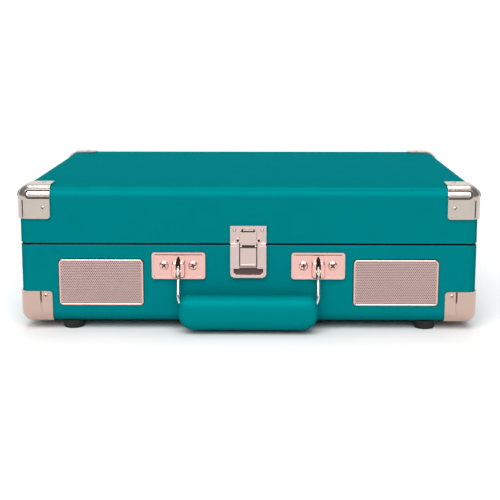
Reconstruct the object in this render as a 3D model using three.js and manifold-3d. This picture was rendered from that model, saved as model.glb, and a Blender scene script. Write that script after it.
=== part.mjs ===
// Suitcase record player: a small wooden carrying case covered in teal leatherette, with a belt-driven
// turntable, two loudspeakers and an amplifier inside. Stored closed, latched, its handle hanging in front.
//
// Millimetres. x = 0 is the middle of the case, y = 0 its front face (y grows towards the back) and z = 0 the
// table. The finished group is moved along y, so that its own origin is under the middle of the whole object.
import * as THREE from "three";
import { RoundedBoxGeometry } from "three/addons/geometries/RoundedBoxGeometry.js";
import { mergeVertices } from "three/addons/utils/BufferGeometryUtils.js";
import Module from "manifold-3d";

// ---- Driving dimensions ----------------------------------------------------------------------------------

const GAP = 0.3; // between pieces that touch on the real object

// Case
const CASE_WIDTH = 356;
const CASE_DEPTH = 267;
const CASE_BOTTOM = 7;
const CASE_TOP = 113.5;
const CASE_RADIUS = 8;
const CASE_WALL = 9;
const CASE_PANEL = 5.5; // the base's floor and the lid's top
const SEAM_HEIGHT = 69;
const SEAM_GAP = 1.3;
const EDGE_STEPS = 3; // facets around a rounded edge of the case

// Metal corners, which wrap the case's corners
const LID_CORNER = { reach: 24, proud: 2.2 };
const BASE_CORNER = { reach: 24.5, proud: 1.3 };

// Feet
const FOOT_RADIUS = 8.5;
const FOOT_FROM_SIDE = 38.5;
const FOOT_FROM_FRONT = 12.5;

// Speakers and their grilles
const SPEAKER_X = 115;
const SPEAKER_Z = 38.5;
const GRILLE_WIDTH = 66;
const GRILLE_HEIGHT = 36.5;
const GRILLE_PROUD = 0.8;
const GRILLE_SUNK = 1.5;
const SPEAKER_DEPTH = 25;

// Handle: a wire bail, hooked on a bar in each bracket, through a padded grip
const BRACKET_X = 54.3;
const BRACKET_Z = 52.3;
const BRACKET_WIDTH = 41.6;
const BRACKET_HEIGHT = 21;
const HANDLE_PIVOT_Y = -5.2;
const HANDLE_PIVOT_Z = 48.3;
const WIRE_RADIUS = 1.4;
const WIRE_EYE_RADIUS = 3.3; // to the middle of the wire
const GRIP_WIDTH = 108;
const GRIP_FRONT = -20;
const GRIP_BACK = -1.2;
const GRIP_BOTTOM = 3.8;
const GRIP_TOP = 30.8;

// Latch
const LATCH_WIDTH = 28;
const LATCH_BOTTOM = 42.9;
const LATCH_TOP = 83.9;
const LATCH_TONGUE_WIDTH = 12.4;
const LEVER_PIVOT = [-3.4, 72]; // y, z
const HASP_PIVOT = [-3.9, 69.7];
const TONGUE_FRONT = -5.6;
const LEVER_BOTTOM = 52.9;
const HASP_TOP = 79.4;
const TONGUE_SPLIT = 68.4;

// Case hinges
const HINGE_X = 115;
const HINGE_WIDTH = 36;
const HINGE_AXIS_Y = CASE_DEPTH + 3.4;
const HINGE_BARREL_RADIUS = 2.6;
const HINGE_PIN_RADIUS = 1.2;

// Lid stay: two equal links that make a rhombus with the lid's hinge and their two wall pivots
const STAY_REACH = 50; // along y, from the hinge to each wall pivot, and from there to the knee
const STAY_RISE = 4; // of each wall pivot above or below the hinge
const STAY_LINK_WIDTH = 7;
const STAY_LINK_THICKNESS = 1.5;
const STAY_PIN_RADIUS = 1.5;

// Deck
const DECK_TOP = 60;
const DECK_THICKNESS = 3;
const WELL_DEPTH = 6;
const WELL_RADIUS = 102;

// Platter and drive
const PLATTER_X = -48;
const PLATTER_Y = 132;
const PLATTER_RADIUS = 97.5;
const PLATTER_BOTTOM = 56.2;
const PLATTER_TOP = 67;
const MAT_THICKNESS = 1.2;
const SPINDLE_RADIUS = 3;
const DRIVE_RING_RADIUS = 55;
const PULLEY_RADIUS = 2.75; // a twentieth of the ring's
const PULLEY_OFFSET = 76; // from the spindle
const PULLEY_ANGLE = THREE.MathUtils.degToRad(200);
const BELT_BOTTOM = 58;
const BELT_HEIGHT = 4;
const BELT_THICKNESS = 0.8;
const BELT_CLEARANCE = 0.6; // to the ring and the pulley, whose facets turn inside it
const MOTOR_RADIUS = 16;
const MOTOR_BOTTOM = 22;

// Tonearm, which lies along y when it is on its rest
const ARM_X = 107;
const ARM_PIVOT_Y = 215;
const ARM_Z = 78;
const ARM_RADIUS = 4;
const ARM_LENGTH = 190; // from the pivot to the stylus
const STYLUS_Z = 70.6;
const CUE_RADIUS = 30; // of the lift platform's arc around the pivot
const CUE_LEVER = { x: 128, y: 190, z: 66, length: 26 };
const REST_Y = 105;
const CLIP_PIVOT = [116.5, 80]; // x, z
const CLIP_OPEN = THREE.MathUtils.degToRad(115);

// Controls on the deck
const VOLUME = { x: 140, y: 46 };
const SPEED_SLOT = { x: 134, y: 76, travel: 12 };
const STOP_SLOT = { x: 137, y: 96, travel: 6 };
const ADAPTER = { x: 142, y: 140, radius: 19, height: 6 };

// Rear connections
const REAR_X = 50;
const REAR_Z = 36;
const REAR_WIDTH = 60;
const REAR_HEIGHT = 28;

// Amplifier board
const BOARD = { x: 130, y: 70, z: 30, width: 66, depth: 62 };

// ---- Values that follow from them ------------------------------------------------------------------------

const BASE_TOP = SEAM_HEIGHT - SEAM_GAP / 2;
const LID_BOTTOM = SEAM_HEIGHT + SEAM_GAP / 2;
const CASE_MIDDLE_Y = CASE_DEPTH / 2;
const CASE_MIDDLE_Z = (CASE_BOTTOM + CASE_TOP) / 2;
const INNER_SIDE = CASE_WIDTH / 2 - CASE_WALL;
const INNER_BACK = CASE_DEPTH - CASE_WALL;
const INNER_FLOOR = CASE_BOTTOM + CASE_PANEL;
const DECK_BOTTOM = DECK_TOP - DECK_THICKNESS;
const WELL_FLOOR = DECK_TOP - WELL_DEPTH;
const PULLEY_X = PLATTER_X + PULLEY_OFFSET * Math.cos(PULLEY_ANGLE);
const PULLEY_Y = PLATTER_Y + PULLEY_OFFSET * Math.sin(PULLEY_ANGLE);
const OBJECT_BACK = HINGE_AXIS_Y + HINGE_BARREL_RADIUS;
const OBJECT_MIDDLE_Y = (GRIP_FRONT + OBJECT_BACK) / 2;

// ---- Materials -------------------------------------------------------------------------------------------

const TEAL = new THREE.Color().setRGB(0.01, 0.51, 0.52, THREE.SRGBColorSpace);
const ROSE_NICKEL = new THREE.Color().setRGB(0.9, 0.77, 0.71, THREE.SRGBColorSpace);
const BLACK = new THREE.Color().setRGB(0.05, 0.05, 0.055, THREE.SRGBColorSpace);

function material(color, roughness, metalness) {
  return new THREE.MeshStandardMaterial({ color, roughness, metalness, flatShading: true });
}

const leatherette = material(TEAL, 0.55, 0);
const roseNickel = material(ROSE_NICKEL, 0.3, 1);
const steel = material(0xc9c9cc, 0.3, 1);
const blackPlastic = material(BLACK, 0.45, 0);
const blackRubber = material(0x141414, 0.8, 0);
const feltBlack = material(0x1c1c1e, 0.95, 0);
const redPlastic = material(0xb3261e, 0.35, 0);
const circuitGreen = material(0x1d6b3a, 0.5, 0);
const conePaper = material(0x2a2a2a, 0.9, 0);
const copperLead = material(0x7a1f1f, 0.6, 0);

// ---- Making and combining solids -------------------------------------------------------------------------

const wasm = await Module();
wasm.setup();

// A closed three.js geometry as a solid that can be joined and cut.
function solid(geometry) {
  const bare = geometry.clone();
  bare.deleteAttribute("normal");
  bare.deleteAttribute("uv");
  const merged = mergeVertices(bare, 1e-3);
  const mesh = new wasm.Mesh({
    numProp: 3,
    vertProperties: merged.attributes.position.array,
    triVerts: new Uint32Array(merged.index.array),
  });
  return new wasm.Manifold(mesh);
}

function join(...solids) {
  return solids.reduce((all, next) => all.add(next));
}

function cut(body, ...holes) {
  return holes.reduce((left, hole) => left.subtract(hole), body);
}

// A box between two corners.
function block([x0, y0, z0], [x1, y1, z1]) {
  const box = new THREE.BoxGeometry(x1 - x0, y1 - y0, z1 - z0);
  return solid(box.translate((x0 + x1) / 2, (y0 + y1) / 2, (z0 + z1) / 2));
}

// A round bar along one axis ("x", "y" or "z") from one coordinate to another. `at` gives the other two.
function bar(axis, radius, from, to, at, sides = 12) {
  const cylinder = new THREE.CylinderGeometry(radius, radius, to - from, sides);
  const middle = (from + to) / 2;
  if (axis === "x") return solid(cylinder.rotateZ(Math.PI / 2).translate(middle, at[0], at[1]));
  if (axis === "y") return solid(cylinder.translate(at[0], middle, at[1]));
  return solid(cylinder.rotateX(Math.PI / 2).translate(at[0], at[1], middle));
}

// A body of revolution about a vertical line. The profile holds [radius, z] pairs and runs upwards on the
// outside; a profile that keeps off the line closes on itself.
function turned(profile, [x, y], sides) {
  const points = profile.map(([radius, z]) => new THREE.Vector2(radius, z));
  const onAxis = profile[0][0] === 0;
  if (!onAxis) points.push(points[0].clone());
  const lathe = new THREE.LatheGeometry(points, sides);
  return solid(lathe.rotateX(Math.PI / 2).translate(x, y, 0));
}

function roundedOutline(width, height, radius) {
  const outline = new THREE.Shape();
  const x = width / 2 - radius;
  const y = height / 2 - radius;
  outline.absarc(x, y, radius, 0, Math.PI / 2);
  outline.absarc(-x, y, radius, Math.PI / 2, Math.PI);
  outline.absarc(-x, -y, radius, Math.PI, Math.PI * 1.5);
  outline.absarc(x, -y, radius, Math.PI * 1.5, Math.PI * 2);
  outline.closePath();
  return outline;
}

// Each arc of the outline is drawn as 2 * steps facets.
function extruded(outline, depth, steps) {
  return new THREE.ExtrudeGeometry(outline, { depth, bevelEnabled: false, curveSegments: steps });
}

// An outline drawn in x and z, standing between two y coordinates.
function standing(outline, [x, z], front, back, steps = 1) {
  return solid(extruded(outline, back - front, steps).rotateX(Math.PI / 2).translate(x, back, z));
}

// An outline drawn in x and y, lying between two heights.
function lying(outline, [x, y], bottom, top, steps = 1) {
  return solid(extruded(outline, top - bottom, steps).translate(x, y, bottom));
}

// A round wire along a smooth curve through the points.
function wire(points, radius, steps, sides = 8) {
  const path = new THREE.CatmullRomCurve3(points.map((point) => new THREE.Vector3(...point)));
  const section = new THREE.Shape();
  section.absarc(0, 0, radius, 0, Math.PI * 2);
  const curveSegments = sides / 2;
  return solid(new THREE.ExtrudeGeometry(section, { steps, extrudePath: path, curveSegments }));
}

const player = new THREE.Group();

// Adds a solid to the player as a named mesh.
function add(name, shape, look) {
  const { vertProperties, triVerts } = shape.getMesh();
  const geometry = new THREE.BufferGeometry();
  geometry.setAttribute("position", new THREE.BufferAttribute(vertProperties, 3));
  geometry.setIndex(new THREE.BufferAttribute(triVerts, 1));
  geometry.computeVertexNormals();
  const mesh = new THREE.Mesh(geometry, look);
  mesh.name = name;
  player.add(mesh);
  return mesh;
}

const SIDES = [
  ["left", -1],
  ["right", 1],
];
const ENDS = [
  ["front", -1],
  ["back", 1],
];

// ---- Case ------------------------------------------------------------------------------------------------

// The closed case's outer form, larger all round by `offset`.
function caseForm(offset) {
  const size = [CASE_WIDTH, CASE_DEPTH, CASE_TOP - CASE_BOTTOM].map((side) => side + 2 * offset);
  const form = new RoundedBoxGeometry(...size, EDGE_STEPS, CASE_RADIUS + offset);
  return solid(form.translate(0, CASE_MIDDLE_Y, CASE_MIDDLE_Z));
}

function slab(bottom, top) {
  return block([-CASE_WIDTH, -CASE_DEPTH, bottom], [CASE_WIDTH, 2 * CASE_DEPTH, top]);
}

function caseHollow(bottom, top) {
  const outline = roundedOutline(2 * INNER_SIDE, CASE_DEPTH - 2 * CASE_WALL, 5);
  return lying(outline, [0, CASE_MIDDLE_Y], bottom, top);
}

// Where the stay's wall pins sit: y and z of the pivot on the base, and of the one on the lid.
const STAY_BASE_PIVOT = [HINGE_AXIS_Y - STAY_REACH, SEAM_HEIGHT - STAY_RISE];
const STAY_LID_PIVOT = [HINGE_AXIS_Y - STAY_REACH, SEAM_HEIGHT + STAY_RISE];
const STAY_KNEE = [HINGE_AXIS_Y - 2 * STAY_REACH, SEAM_HEIGHT];

function stayPinHole(pivot) {
  return bar("x", STAY_PIN_RADIUS + 0.4, -INNER_SIDE - 4, -INNER_SIDE + 1, pivot);
}

function baseCase() {
  const tray = caseForm(0).intersect(slab(0, BASE_TOP));
  const cleats = [];
  for (const x of [-1, 1]) {
    for (const y of [CASE_WALL - 1, INNER_BACK - 12]) {
      const inner = x * (INNER_SIDE - 12);
      const outer = x * (INNER_SIDE + 1);
      const [x0, x1] = [Math.min(inner, outer), Math.max(inner, outer)];
      cleats.push(block([x0, y, INNER_FLOOR - 1], [x1, y + 13, DECK_BOTTOM - GAP]));
    }
  }
  const ports = [];
  for (const [, side] of SIDES) {
    const at = [side * SPEAKER_X, SPEAKER_Z];
    const seat = roundedOutline(GRILLE_WIDTH + 2 * GAP, GRILLE_HEIGHT + 2 * GAP, 3 + GAP);
    ports.push(standing(seat, at, -1, GRILLE_SUNK));
    ports.push(standing(roundedOutline(58, 29, 8), at, 0, CASE_WALL + 1));
  }
  const rear = standing(roundedOutline(REAR_WIDTH, REAR_HEIGHT, 4), [REAR_X, REAR_Z], INNER_BACK - 1, CASE_DEPTH + 1);
  const hollowed = cut(tray, caseHollow(INNER_FLOOR, CASE_TOP));
  return cut(join(hollowed, ...cleats), ...ports, rear, stayPinHole(STAY_BASE_PIVOT));
}

function lidCase() {
  const cover = caseForm(0).intersect(slab(LID_BOTTOM, CASE_TOP + 1));
  return cut(cover, caseHollow(CASE_BOTTOM, CASE_TOP - CASE_PANEL), stayPinHole(STAY_LID_PIVOT));
}

// A metal cap around one corner of the closed case. The signs say which corner.
function cornerCap({ reach, proud }, xSign, ySign, zSign) {
  const shell = cut(caseForm(proud), caseForm(GAP));
  const centre = [
    (xSign * CASE_WIDTH) / 2,
    CASE_MIDDLE_Y + (ySign * CASE_DEPTH) / 2,
    zSign > 0 ? CASE_TOP : CASE_BOTTOM,
  ];
  return shell.intersect(block(centre.map((c) => c - reach), centre.map((c) => c + reach)));
}

function foot() {
  const top = CASE_BOTTOM - GAP;
  const profile = [
    [0, 0],
    [FOOT_RADIUS - 1.6, 0],
    [FOOT_RADIUS - 0.8, 0.8],
    [FOOT_RADIUS, top],
    [0, top],
  ];
  return turned(profile, [0, 0], 12);
}

add("base_case", baseCase(), leatherette);
add("lid_case", lidCase(), leatherette);
for (const [endName, ySign] of ENDS) {
  for (const [sideName, xSign] of SIDES) {
    const place = `${endName}_${sideName}`;
    add(`lid_corner_${place}`, cornerCap(LID_CORNER, xSign, ySign, 1), roseNickel);
    add(`base_corner_${place}`, cornerCap(BASE_CORNER, xSign, ySign, -1), roseNickel);
    const standingFoot = add(`foot_${place}`, foot(), blackRubber);
    const fromMiddle = CASE_DEPTH / 2 - FOOT_FROM_FRONT;
    const footX = xSign * (CASE_WIDTH / 2 - FOOT_FROM_SIDE);
    standingFoot.position.set(footX, CASE_MIDDLE_Y + ySign * fromMiddle, 0);
  }
}

// ---- Hinges and lid stay ---------------------------------------------------------------------------------

const HINGE_AXIS = [HINGE_AXIS_Y, SEAM_HEIGHT];
const LEAF_FRONT = CASE_DEPTH + GAP;
const LEAF_BACK = LEAF_FRONT + 1.2;

// The base's leaf, with the two outer knuckles and the pin pressed into them.
function hingeBaseLeaf(x) {
  const half = HINGE_WIDTH / 2;
  const knuckle = HINGE_WIDTH / 3 - GAP;
  const leaf = block([x - half, LEAF_FRONT, 47], [x + half, LEAF_BACK, 66]);
  const outer = [x - half, x + half - knuckle].flatMap((start) => [
    bar("x", HINGE_BARREL_RADIUS, start, start + knuckle, HINGE_AXIS),
    block([start, LEAF_FRONT, 65], [start + knuckle, LEAF_BACK, SEAM_HEIGHT]),
  ]);
  const pin = bar("x", HINGE_PIN_RADIUS, x - half + 1, x + half - 1, HINGE_AXIS);
  return join(leaf, ...outer, pin);
}

// The lid's leaf, with the middle knuckle.
function hingeLidLeaf(x) {
  const half = HINGE_WIDTH / 2;
  const sixth = HINGE_WIDTH / 6 - GAP;
  const leaf = block([x - half, LEAF_FRONT, 72], [x + half, LEAF_BACK, 91]);
  const web = block([x - sixth, LEAF_FRONT, SEAM_HEIGHT], [x + sixth, LEAF_BACK, 73]);
  const knuckle = bar("x", HINGE_BARREL_RADIUS, x - sixth, x + sixth, HINGE_AXIS);
  const bore = bar("x", HINGE_PIN_RADIUS + 0.4, x - half, x + half, HINGE_AXIS);
  return cut(join(leaf, web, knuckle), bore);
}

for (const [sideName, side] of SIDES) {
  add(`hinge_base_leaf_${sideName}`, hingeBaseLeaf(side * HINGE_X), steel);
  add(`hinge_lid_leaf_${sideName}`, hingeLidLeaf(side * HINGE_X), steel);
}

// A flat link between two pivots (y and z), starting at `x` and growing inwards.
function stayLink(x, from, to) {
  const length = Math.hypot(to[0] - from[0], to[1] - from[1]);
  const outline = roundedOutline(length + STAY_LINK_WIDTH, STAY_LINK_WIDTH, STAY_LINK_WIDTH / 2);
  const link = extruded(outline, STAY_LINK_THICKNESS, 2);
  link.rotateY(Math.PI / 2).rotateX(Math.PI / 2);
  const tilt = Math.atan2(to[1] - from[1], to[0] - from[0]);
  link.rotateX(tilt);
  return solid(link.translate(x, (from[0] + to[0]) / 2, (from[1] + to[1]) / 2));
}

const STAY_UPPER_X = -INNER_SIDE + 0.5;
const STAY_LOWER_X = STAY_UPPER_X + STAY_LINK_THICKNESS + 0.5;

// The link on the base. Its wall pin and its knee pin are riveted to it.
function stayLowerLink() {
  const link = stayLink(STAY_LOWER_X, STAY_BASE_PIVOT, STAY_KNEE);
  const spacer = bar("x", 2.6, STAY_UPPER_X, STAY_LOWER_X + 0.5, STAY_BASE_PIVOT);
  const wallPin = bar("x", STAY_PIN_RADIUS, -INNER_SIDE - 3.5, STAY_LOWER_X + 0.5, STAY_BASE_PIVOT);
  const kneePin = bar("x", STAY_PIN_RADIUS, STAY_UPPER_X, STAY_LOWER_X + 0.5, STAY_KNEE);
  return join(link, spacer, wallPin, kneePin);
}

// The link on the lid. Its knee hole is loose around the lower link's pin.
function stayUpperLink() {
  const link = stayLink(STAY_UPPER_X, STAY_LID_PIVOT, STAY_KNEE);
  const wallPin = bar("x", STAY_PIN_RADIUS, -INNER_SIDE - 3.5, STAY_UPPER_X + 0.5, STAY_LID_PIVOT);
  const kneeHole = bar("x", STAY_PIN_RADIUS + 0.5, STAY_UPPER_X - 1, STAY_LOWER_X, STAY_KNEE);
  return cut(join(link, wallPin), kneeHole);
}

add("stay_lower_link", stayLowerLink(), steel);
add("stay_upper_link", stayUpperLink(), steel);

// ---- Grilles and loudspeakers ----------------------------------------------------------------------------

// A pressed sheet with a raised rim around a field that lies a little lower.
function grille() {
  const body = standing(roundedOutline(GRILLE_WIDTH, GRILLE_HEIGHT, 3), [0, 0], -GRILLE_PROUD, GRILLE_SUNK - GAP);
  const field = roundedOutline(GRILLE_WIDTH - 4, GRILLE_HEIGHT - 4, 2);
  return cut(body, standing(field, [0, 0], -GRILLE_PROUD - 1, -GRILLE_PROUD + 0.5));
}

// A body of revolution about y, stretched along x into the speaker's oval.
function oval(profile, stretch) {
  const points = [...profile, profile[0]].map(([radius, y]) => new THREE.Vector2(radius, y));
  return solid(new THREE.LatheGeometry(points, 16).scale(stretch, 1, 1));
}

// Basket and magnet. The mounting flange lies against the inside of the case's front wall.
function speaker() {
  const front = CASE_WALL + GAP;
  const flange = standing(roundedOutline(66, 36, 12), [0, 0], front, front + 2);
  const mouth = standing(roundedOutline(56, 27, 12), [0, 0], front - 1, front + 3);
  const basket = oval(
    [
      [16, front + 1],
      [17, front + 1],
      [11, front + 14],
      [10, front + 14],
    ],
    1.8,
  );
  const magnet = bar("y", 14, front + 14, front + SPEAKER_DEPTH, [0, 0], 20);
  const back = standing(roundedOutline(38, 24, 8), [0, 0], front + 13, front + 15);
  return join(cut(flange, mouth), basket, back, magnet);
}

// The paper cone, free to move a little along y inside the basket.
function speakerCone() {
  const front = CASE_WALL + GAP;
  return oval(
    [
      [0.6, front + 9.4],
      [11.8, front + 1.2],
      [12.6, front + 1.2],
      [0.6, front + 11],
    ],
    1.8,
  );
}

for (const [sideName, side] of SIDES) {
  for (const [name, shape, look] of [
    ["grille", grille(), roseNickel],
    ["speaker", speaker(), steel],
    ["speaker_cone", speakerCone(), conePaper],
  ]) {
    add(`${name}_${sideName}`, shape, look).position.set(side * SPEAKER_X, 0, SPEAKER_Z);
  }
}

// ---- Handle ----------------------------------------------------------------------------------------------

// A rimmed plate with two screw heads, and two cheeks that hold a bar across a slot for the wire's eye.
function handleBracket() {
  const at = [0, BRACKET_Z];
  const face = -GAP - 1.2;
  const plate = standing(roundedOutline(BRACKET_WIDTH, BRACKET_HEIGHT, 2), at, face - 0.8, -GAP);
  const field = roundedOutline(BRACKET_WIDTH - 3.6, BRACKET_HEIGHT - 3.6, 1);
  const screws = [-1, 1].map((side) => bar("y", 3.8, face - 1.6, face + 0.5, [side * 11.3, BRACKET_Z]));
  const cheeks = block([-5, HANDLE_PIVOT_Y - 2, HANDLE_PIVOT_Z - 4], [5, face + 0.5, HANDLE_PIVOT_Z + 4]);
  const slot = block([-2.2, -12, HANDLE_PIVOT_Z - 6], [2.2, 1, HANDLE_PIVOT_Z + 8.5]);
  const crossBar = bar("x", 1.5, -3, 3, [HANDLE_PIVOT_Y, HANDLE_PIVOT_Z]);
  const dished = cut(plate, standing(field, at, face - 2, face));
  return join(cut(join(dished, ...screws, cheeks), slot), crossBar);
}

// The wire's route from its right eye into the grip, to the middle.
const WIRE_ROUTE = [
  [BRACKET_X, HANDLE_PIVOT_Y, HANDLE_PIVOT_Z - WIRE_EYE_RADIUS],
  [BRACKET_X, HANDLE_PIVOT_Y - 0.8, 41],
  [BRACKET_X, HANDLE_PIVOT_Y - 3.4, 34],
  [BRACKET_X - 0.3, HANDLE_PIVOT_Y - 5, 27.5],
  [BRACKET_X - 5, HANDLE_PIVOT_Y - 5.4, 21.3],
  [BRACKET_X - 18, HANDLE_PIVOT_Y - 5.4, 18.5],
];

function bailWire(radius) {
  const mirrored = WIRE_ROUTE.map(([x, y, z]) => [-x, y, z]).reverse();
  return wire([...WIRE_ROUTE, ...mirrored], radius, 28);
}

function handleWire() {
  const eyes = SIDES.map(([, side]) => {
    const eye = new THREE.TorusGeometry(WIRE_EYE_RADIUS, WIRE_RADIUS, 6, 12);
    return solid(eye.rotateY(Math.PI / 2).translate(side * BRACKET_X, HANDLE_PIVOT_Y, HANDLE_PIVOT_Z));
  });
  return join(bailWire(WIRE_RADIUS), ...eyes);
}

// A soft bar whose lower corners are well rounded, around the wire.
function handleGrip() {
  const outline = new THREE.Shape();
  const half = GRIP_WIDTH / 2;
  outline.absarc(half - 12, GRIP_BOTTOM + 12, 12, -Math.PI / 2, 0);
  outline.absarc(half - 7, GRIP_TOP - 7, 7, 0, Math.PI / 2);
  outline.absarc(-half + 7, GRIP_TOP - 7, 7, Math.PI / 2, Math.PI);
  outline.absarc(-half + 12, GRIP_BOTTOM + 12, 12, Math.PI, Math.PI * 1.5);
  outline.closePath();
  const front = standing(outline, [0, 0], GRIP_FRONT, GRIP_BACK, 2);
  const section = extruded(roundedOutline(GRIP_BACK - GRIP_FRONT, GRIP_TOP - GRIP_BOTTOM, 8), GRIP_WIDTH + 2, 2);
  section.rotateX(Math.PI / 2).rotateZ(Math.PI / 2);
  section.translate(-half - 1, (GRIP_FRONT + GRIP_BACK) / 2, (GRIP_TOP + GRIP_BOTTOM) / 2);
  return cut(front.intersect(solid(section)), bailWire(WIRE_RADIUS + 0.35));
}

for (const [sideName, side] of SIDES) {
  add(`handle_bracket_${sideName}`, handleBracket(), roseNickel).position.x = side * BRACKET_X;
}
add("handle_wire", handleWire(), roseNickel);
add("handle_grip", handleGrip(), leatherette);

// ---- Latch -----------------------------------------------------------------------------------------------

const LATCH_BACK = -GAP;
const LATCH_FACE = -GAP - 1;
const TONGUE_HALF = LATCH_TONGUE_WIDTH / 2;
const TONGUE_BACK = TONGUE_FRONT + 0.9;
const RAIL_INNER = TONGUE_HALF + 0.8;

// The same box on the left and on the right, between two distances from the middle.
function pairOfBlocks(inner, outer, [y0, z0], [y1, z1]) {
  return [block([-outer, y0, z0], [-inner, y1, z1]), block([inner, y0, z0], [outer, y1, z1])];
}

// On the base: a plate with a rail on each side and a rim around the finger recess. Two ears rise from the
// rails, in front of the lid's plate, and hold the lever's pin.
function latchBasePlate() {
  const half = LATCH_WIDTH / 2;
  const height = BASE_TOP - LATCH_BOTTOM;
  const at = [0, LATCH_BOTTOM + height / 2];
  const plate = standing(roundedOutline(LATCH_WIDTH, height, 3), at, LATCH_FACE, LATCH_BACK);
  const rails = pairOfBlocks(RAIL_INNER, half, [-4.4, 50.5], [LATCH_FACE + 0.3, BASE_TOP]);
  const rim = standing(roundedOutline(LATCH_WIDTH, 14, 3), [0, LATCH_BOTTOM + 7], -3, LATCH_FACE + 0.3);
  const recess = block([-11.5, -5, LATCH_BOTTOM + 2.4], [11.5, LATCH_FACE, 50.5]);
  const pathForLever = block([-RAIL_INNER, -5, 50], [RAIL_INNER, LATCH_FACE, LATCH_TOP]);
  const ears = pairOfBlocks(RAIL_INNER, RAIL_INNER + 2.2, [-4.6, 60], [-1.7, LEVER_PIVOT[1] + 2]);
  const pin = bar("x", 0.55, -RAIL_INNER - 1, RAIL_INNER + 1, LEVER_PIVOT);
  return join(cut(join(plate, ...rails, rim), recess, pathForLever), ...ears, pin);
}

// The lever that the finger lifts. Its two cheeks hang on the base plate's pin and carry the hasp's pin.
function latchLever() {
  const top = TONGUE_SPLIT - 0.5;
  const face = block([-TONGUE_HALF, TONGUE_FRONT, LEVER_BOTTOM], [TONGUE_HALF, TONGUE_BACK, top]);
  const [pivotY, pivotZ] = LEVER_PIVOT;
  const inner = TONGUE_HALF - 1.2;
  const cheeks = pairOfBlocks(inner, TONGUE_HALF, [pivotY - 1, 61], [pivotY + 1.1, pivotZ + 1.2]);
  const webs = pairOfBlocks(inner, TONGUE_HALF, [TONGUE_FRONT, 61], [pivotY, top]);
  const lip = block([-TONGUE_HALF, TONGUE_FRONT - 1.2, LEVER_BOTTOM], [TONGUE_HALF, TONGUE_BACK, LEVER_BOTTOM + 1.2]);
  const pivotHole = bar("x", 0.8, -TONGUE_HALF - 1, TONGUE_HALF + 1, LEVER_PIVOT);
  const haspPin = bar("x", 0.4, -TONGUE_HALF + 0.5, TONGUE_HALF - 0.5, HASP_PIVOT, 8);
  return join(cut(join(face, ...cheeks, ...webs, lip), pivotHole), haspPin);
}

// The hasp turns on the lever's pin, between its cheeks, and widens above them. Its claw faces the lid.
function latchHasp() {
  const inner = TONGUE_HALF - 1.5;
  const [pivotY, pivotZ] = HASP_PIVOT;
  const barrel = bar("x", 0.85, -inner, inner, HASP_PIVOT);
  const neck = block([-inner, TONGUE_FRONT, pivotZ - 0.4], [inner, pivotY, pivotZ + 0.5]);
  const stem = block([-inner, TONGUE_FRONT, pivotZ - 0.4], [inner, TONGUE_BACK, pivotZ + 2]);
  const strip = block([-TONGUE_HALF, TONGUE_FRONT, pivotZ + 1.3], [TONGUE_HALF, TONGUE_BACK, HASP_TOP]);
  const claw = block([-TONGUE_HALF, TONGUE_FRONT, HASP_TOP - 1], [TONGUE_HALF, -2.6, HASP_TOP]);
  return cut(join(barrel, neck, stem, strip, claw), bar("x", 0.55, -inner - 1, inner + 1, HASP_PIVOT, 8));
}

// On the lid: a rimmed plate with a hook above the hasp's claw.
function latchCatchPlate() {
  const half = LATCH_WIDTH / 2;
  const height = LATCH_TOP - LID_BOTTOM;
  const at = [0, LID_BOTTOM + height / 2];
  const plate = standing(roundedOutline(LATCH_WIDTH, height, 1.5), at, LATCH_FACE, LATCH_BACK);
  const rim = block([-half, -2.4, LATCH_TOP - 2], [half, LATCH_FACE + 0.3, LATCH_TOP]);
  const rails = pairOfBlocks(half - 2, half, [-2.4, LID_BOTTOM], [LATCH_FACE + 0.3, LATCH_TOP]);
  const hook = block([-4, -4, HASP_TOP + 0.7], [4, LATCH_FACE + 0.3, HASP_TOP + 1.9]);
  return join(plate, rim, ...rails, hook);
}

add("latch_base_plate", latchBasePlate(), roseNickel);
add("latch_lever", latchLever(), roseNickel);
add("latch_hasp", latchHasp(), roseNickel);
add("latch_catch_plate", latchCatchPlate(), roseNickel);

// ---- Deck ------------------------------------------------------------------------------------------------

// A slot for a sliding knob's neck. The neck starts at one end of it and travels along x.
function sliderSlot({ x, y, travel }) {
  return block([x - 2.5, y - 2, DECK_BOTTOM - 1], [x + travel + 2.5, y + 2, DECK_TOP + 1]);
}

function cuePinPlace() {
  const along = THREE.MathUtils.degToRad(22);
  return [ARM_X - CUE_RADIUS * Math.sin(along), ARM_PIVOT_Y - CUE_RADIUS * Math.cos(along)];
}

function deckPlate() {
  const outline = roundedOutline(2 * INNER_SIDE - 2 * GAP, CASE_DEPTH - 2 * CASE_WALL - 2 * GAP, 4.7);
  const platter = [PLATTER_X, PLATTER_Y];
  const cup = [ADAPTER.x, ADAPTER.y];
  const sheet = lying(outline, [0, CASE_MIDDLE_Y], DECK_BOTTOM, DECK_TOP);
  const wellWall = bar("z", WELL_RADIUS + 3, WELL_FLOOR - 3, DECK_TOP - 1, platter, 36);
  const cupWall = bar("z", ADAPTER.radius + 3, DECK_TOP - 6, DECK_TOP - 1, cup, 24);
  return cut(
    join(sheet, wellWall, cupWall),
    bar("z", WELL_RADIUS, WELL_FLOOR, DECK_TOP + 1, platter, 36),
    bar("z", SPINDLE_RADIUS + GAP, 0, DECK_TOP, platter),
    bar("z", 6, 0, DECK_TOP, [PULLEY_X, PULLEY_Y]),
    bar("z", ADAPTER.radius + 0.6, DECK_TOP - 4, DECK_TOP + 1, cup, 24),
    bar("z", 7.5, 0, DECK_TOP + 1, [ARM_X, ARM_PIVOT_Y]),
    bar("z", 4, 0, DECK_TOP + 1, [VOLUME.x, VOLUME.y]),
    bar("z", 3, 0, DECK_TOP + 1, cuePinPlace()),
    sliderSlot(SPEED_SLOT),
    sliderSlot(STOP_SLOT),
  );
}

add("deck_plate", deckPlate(), blackPlastic);

// ---- Platter and drive -----------------------------------------------------------------------------------

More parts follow.
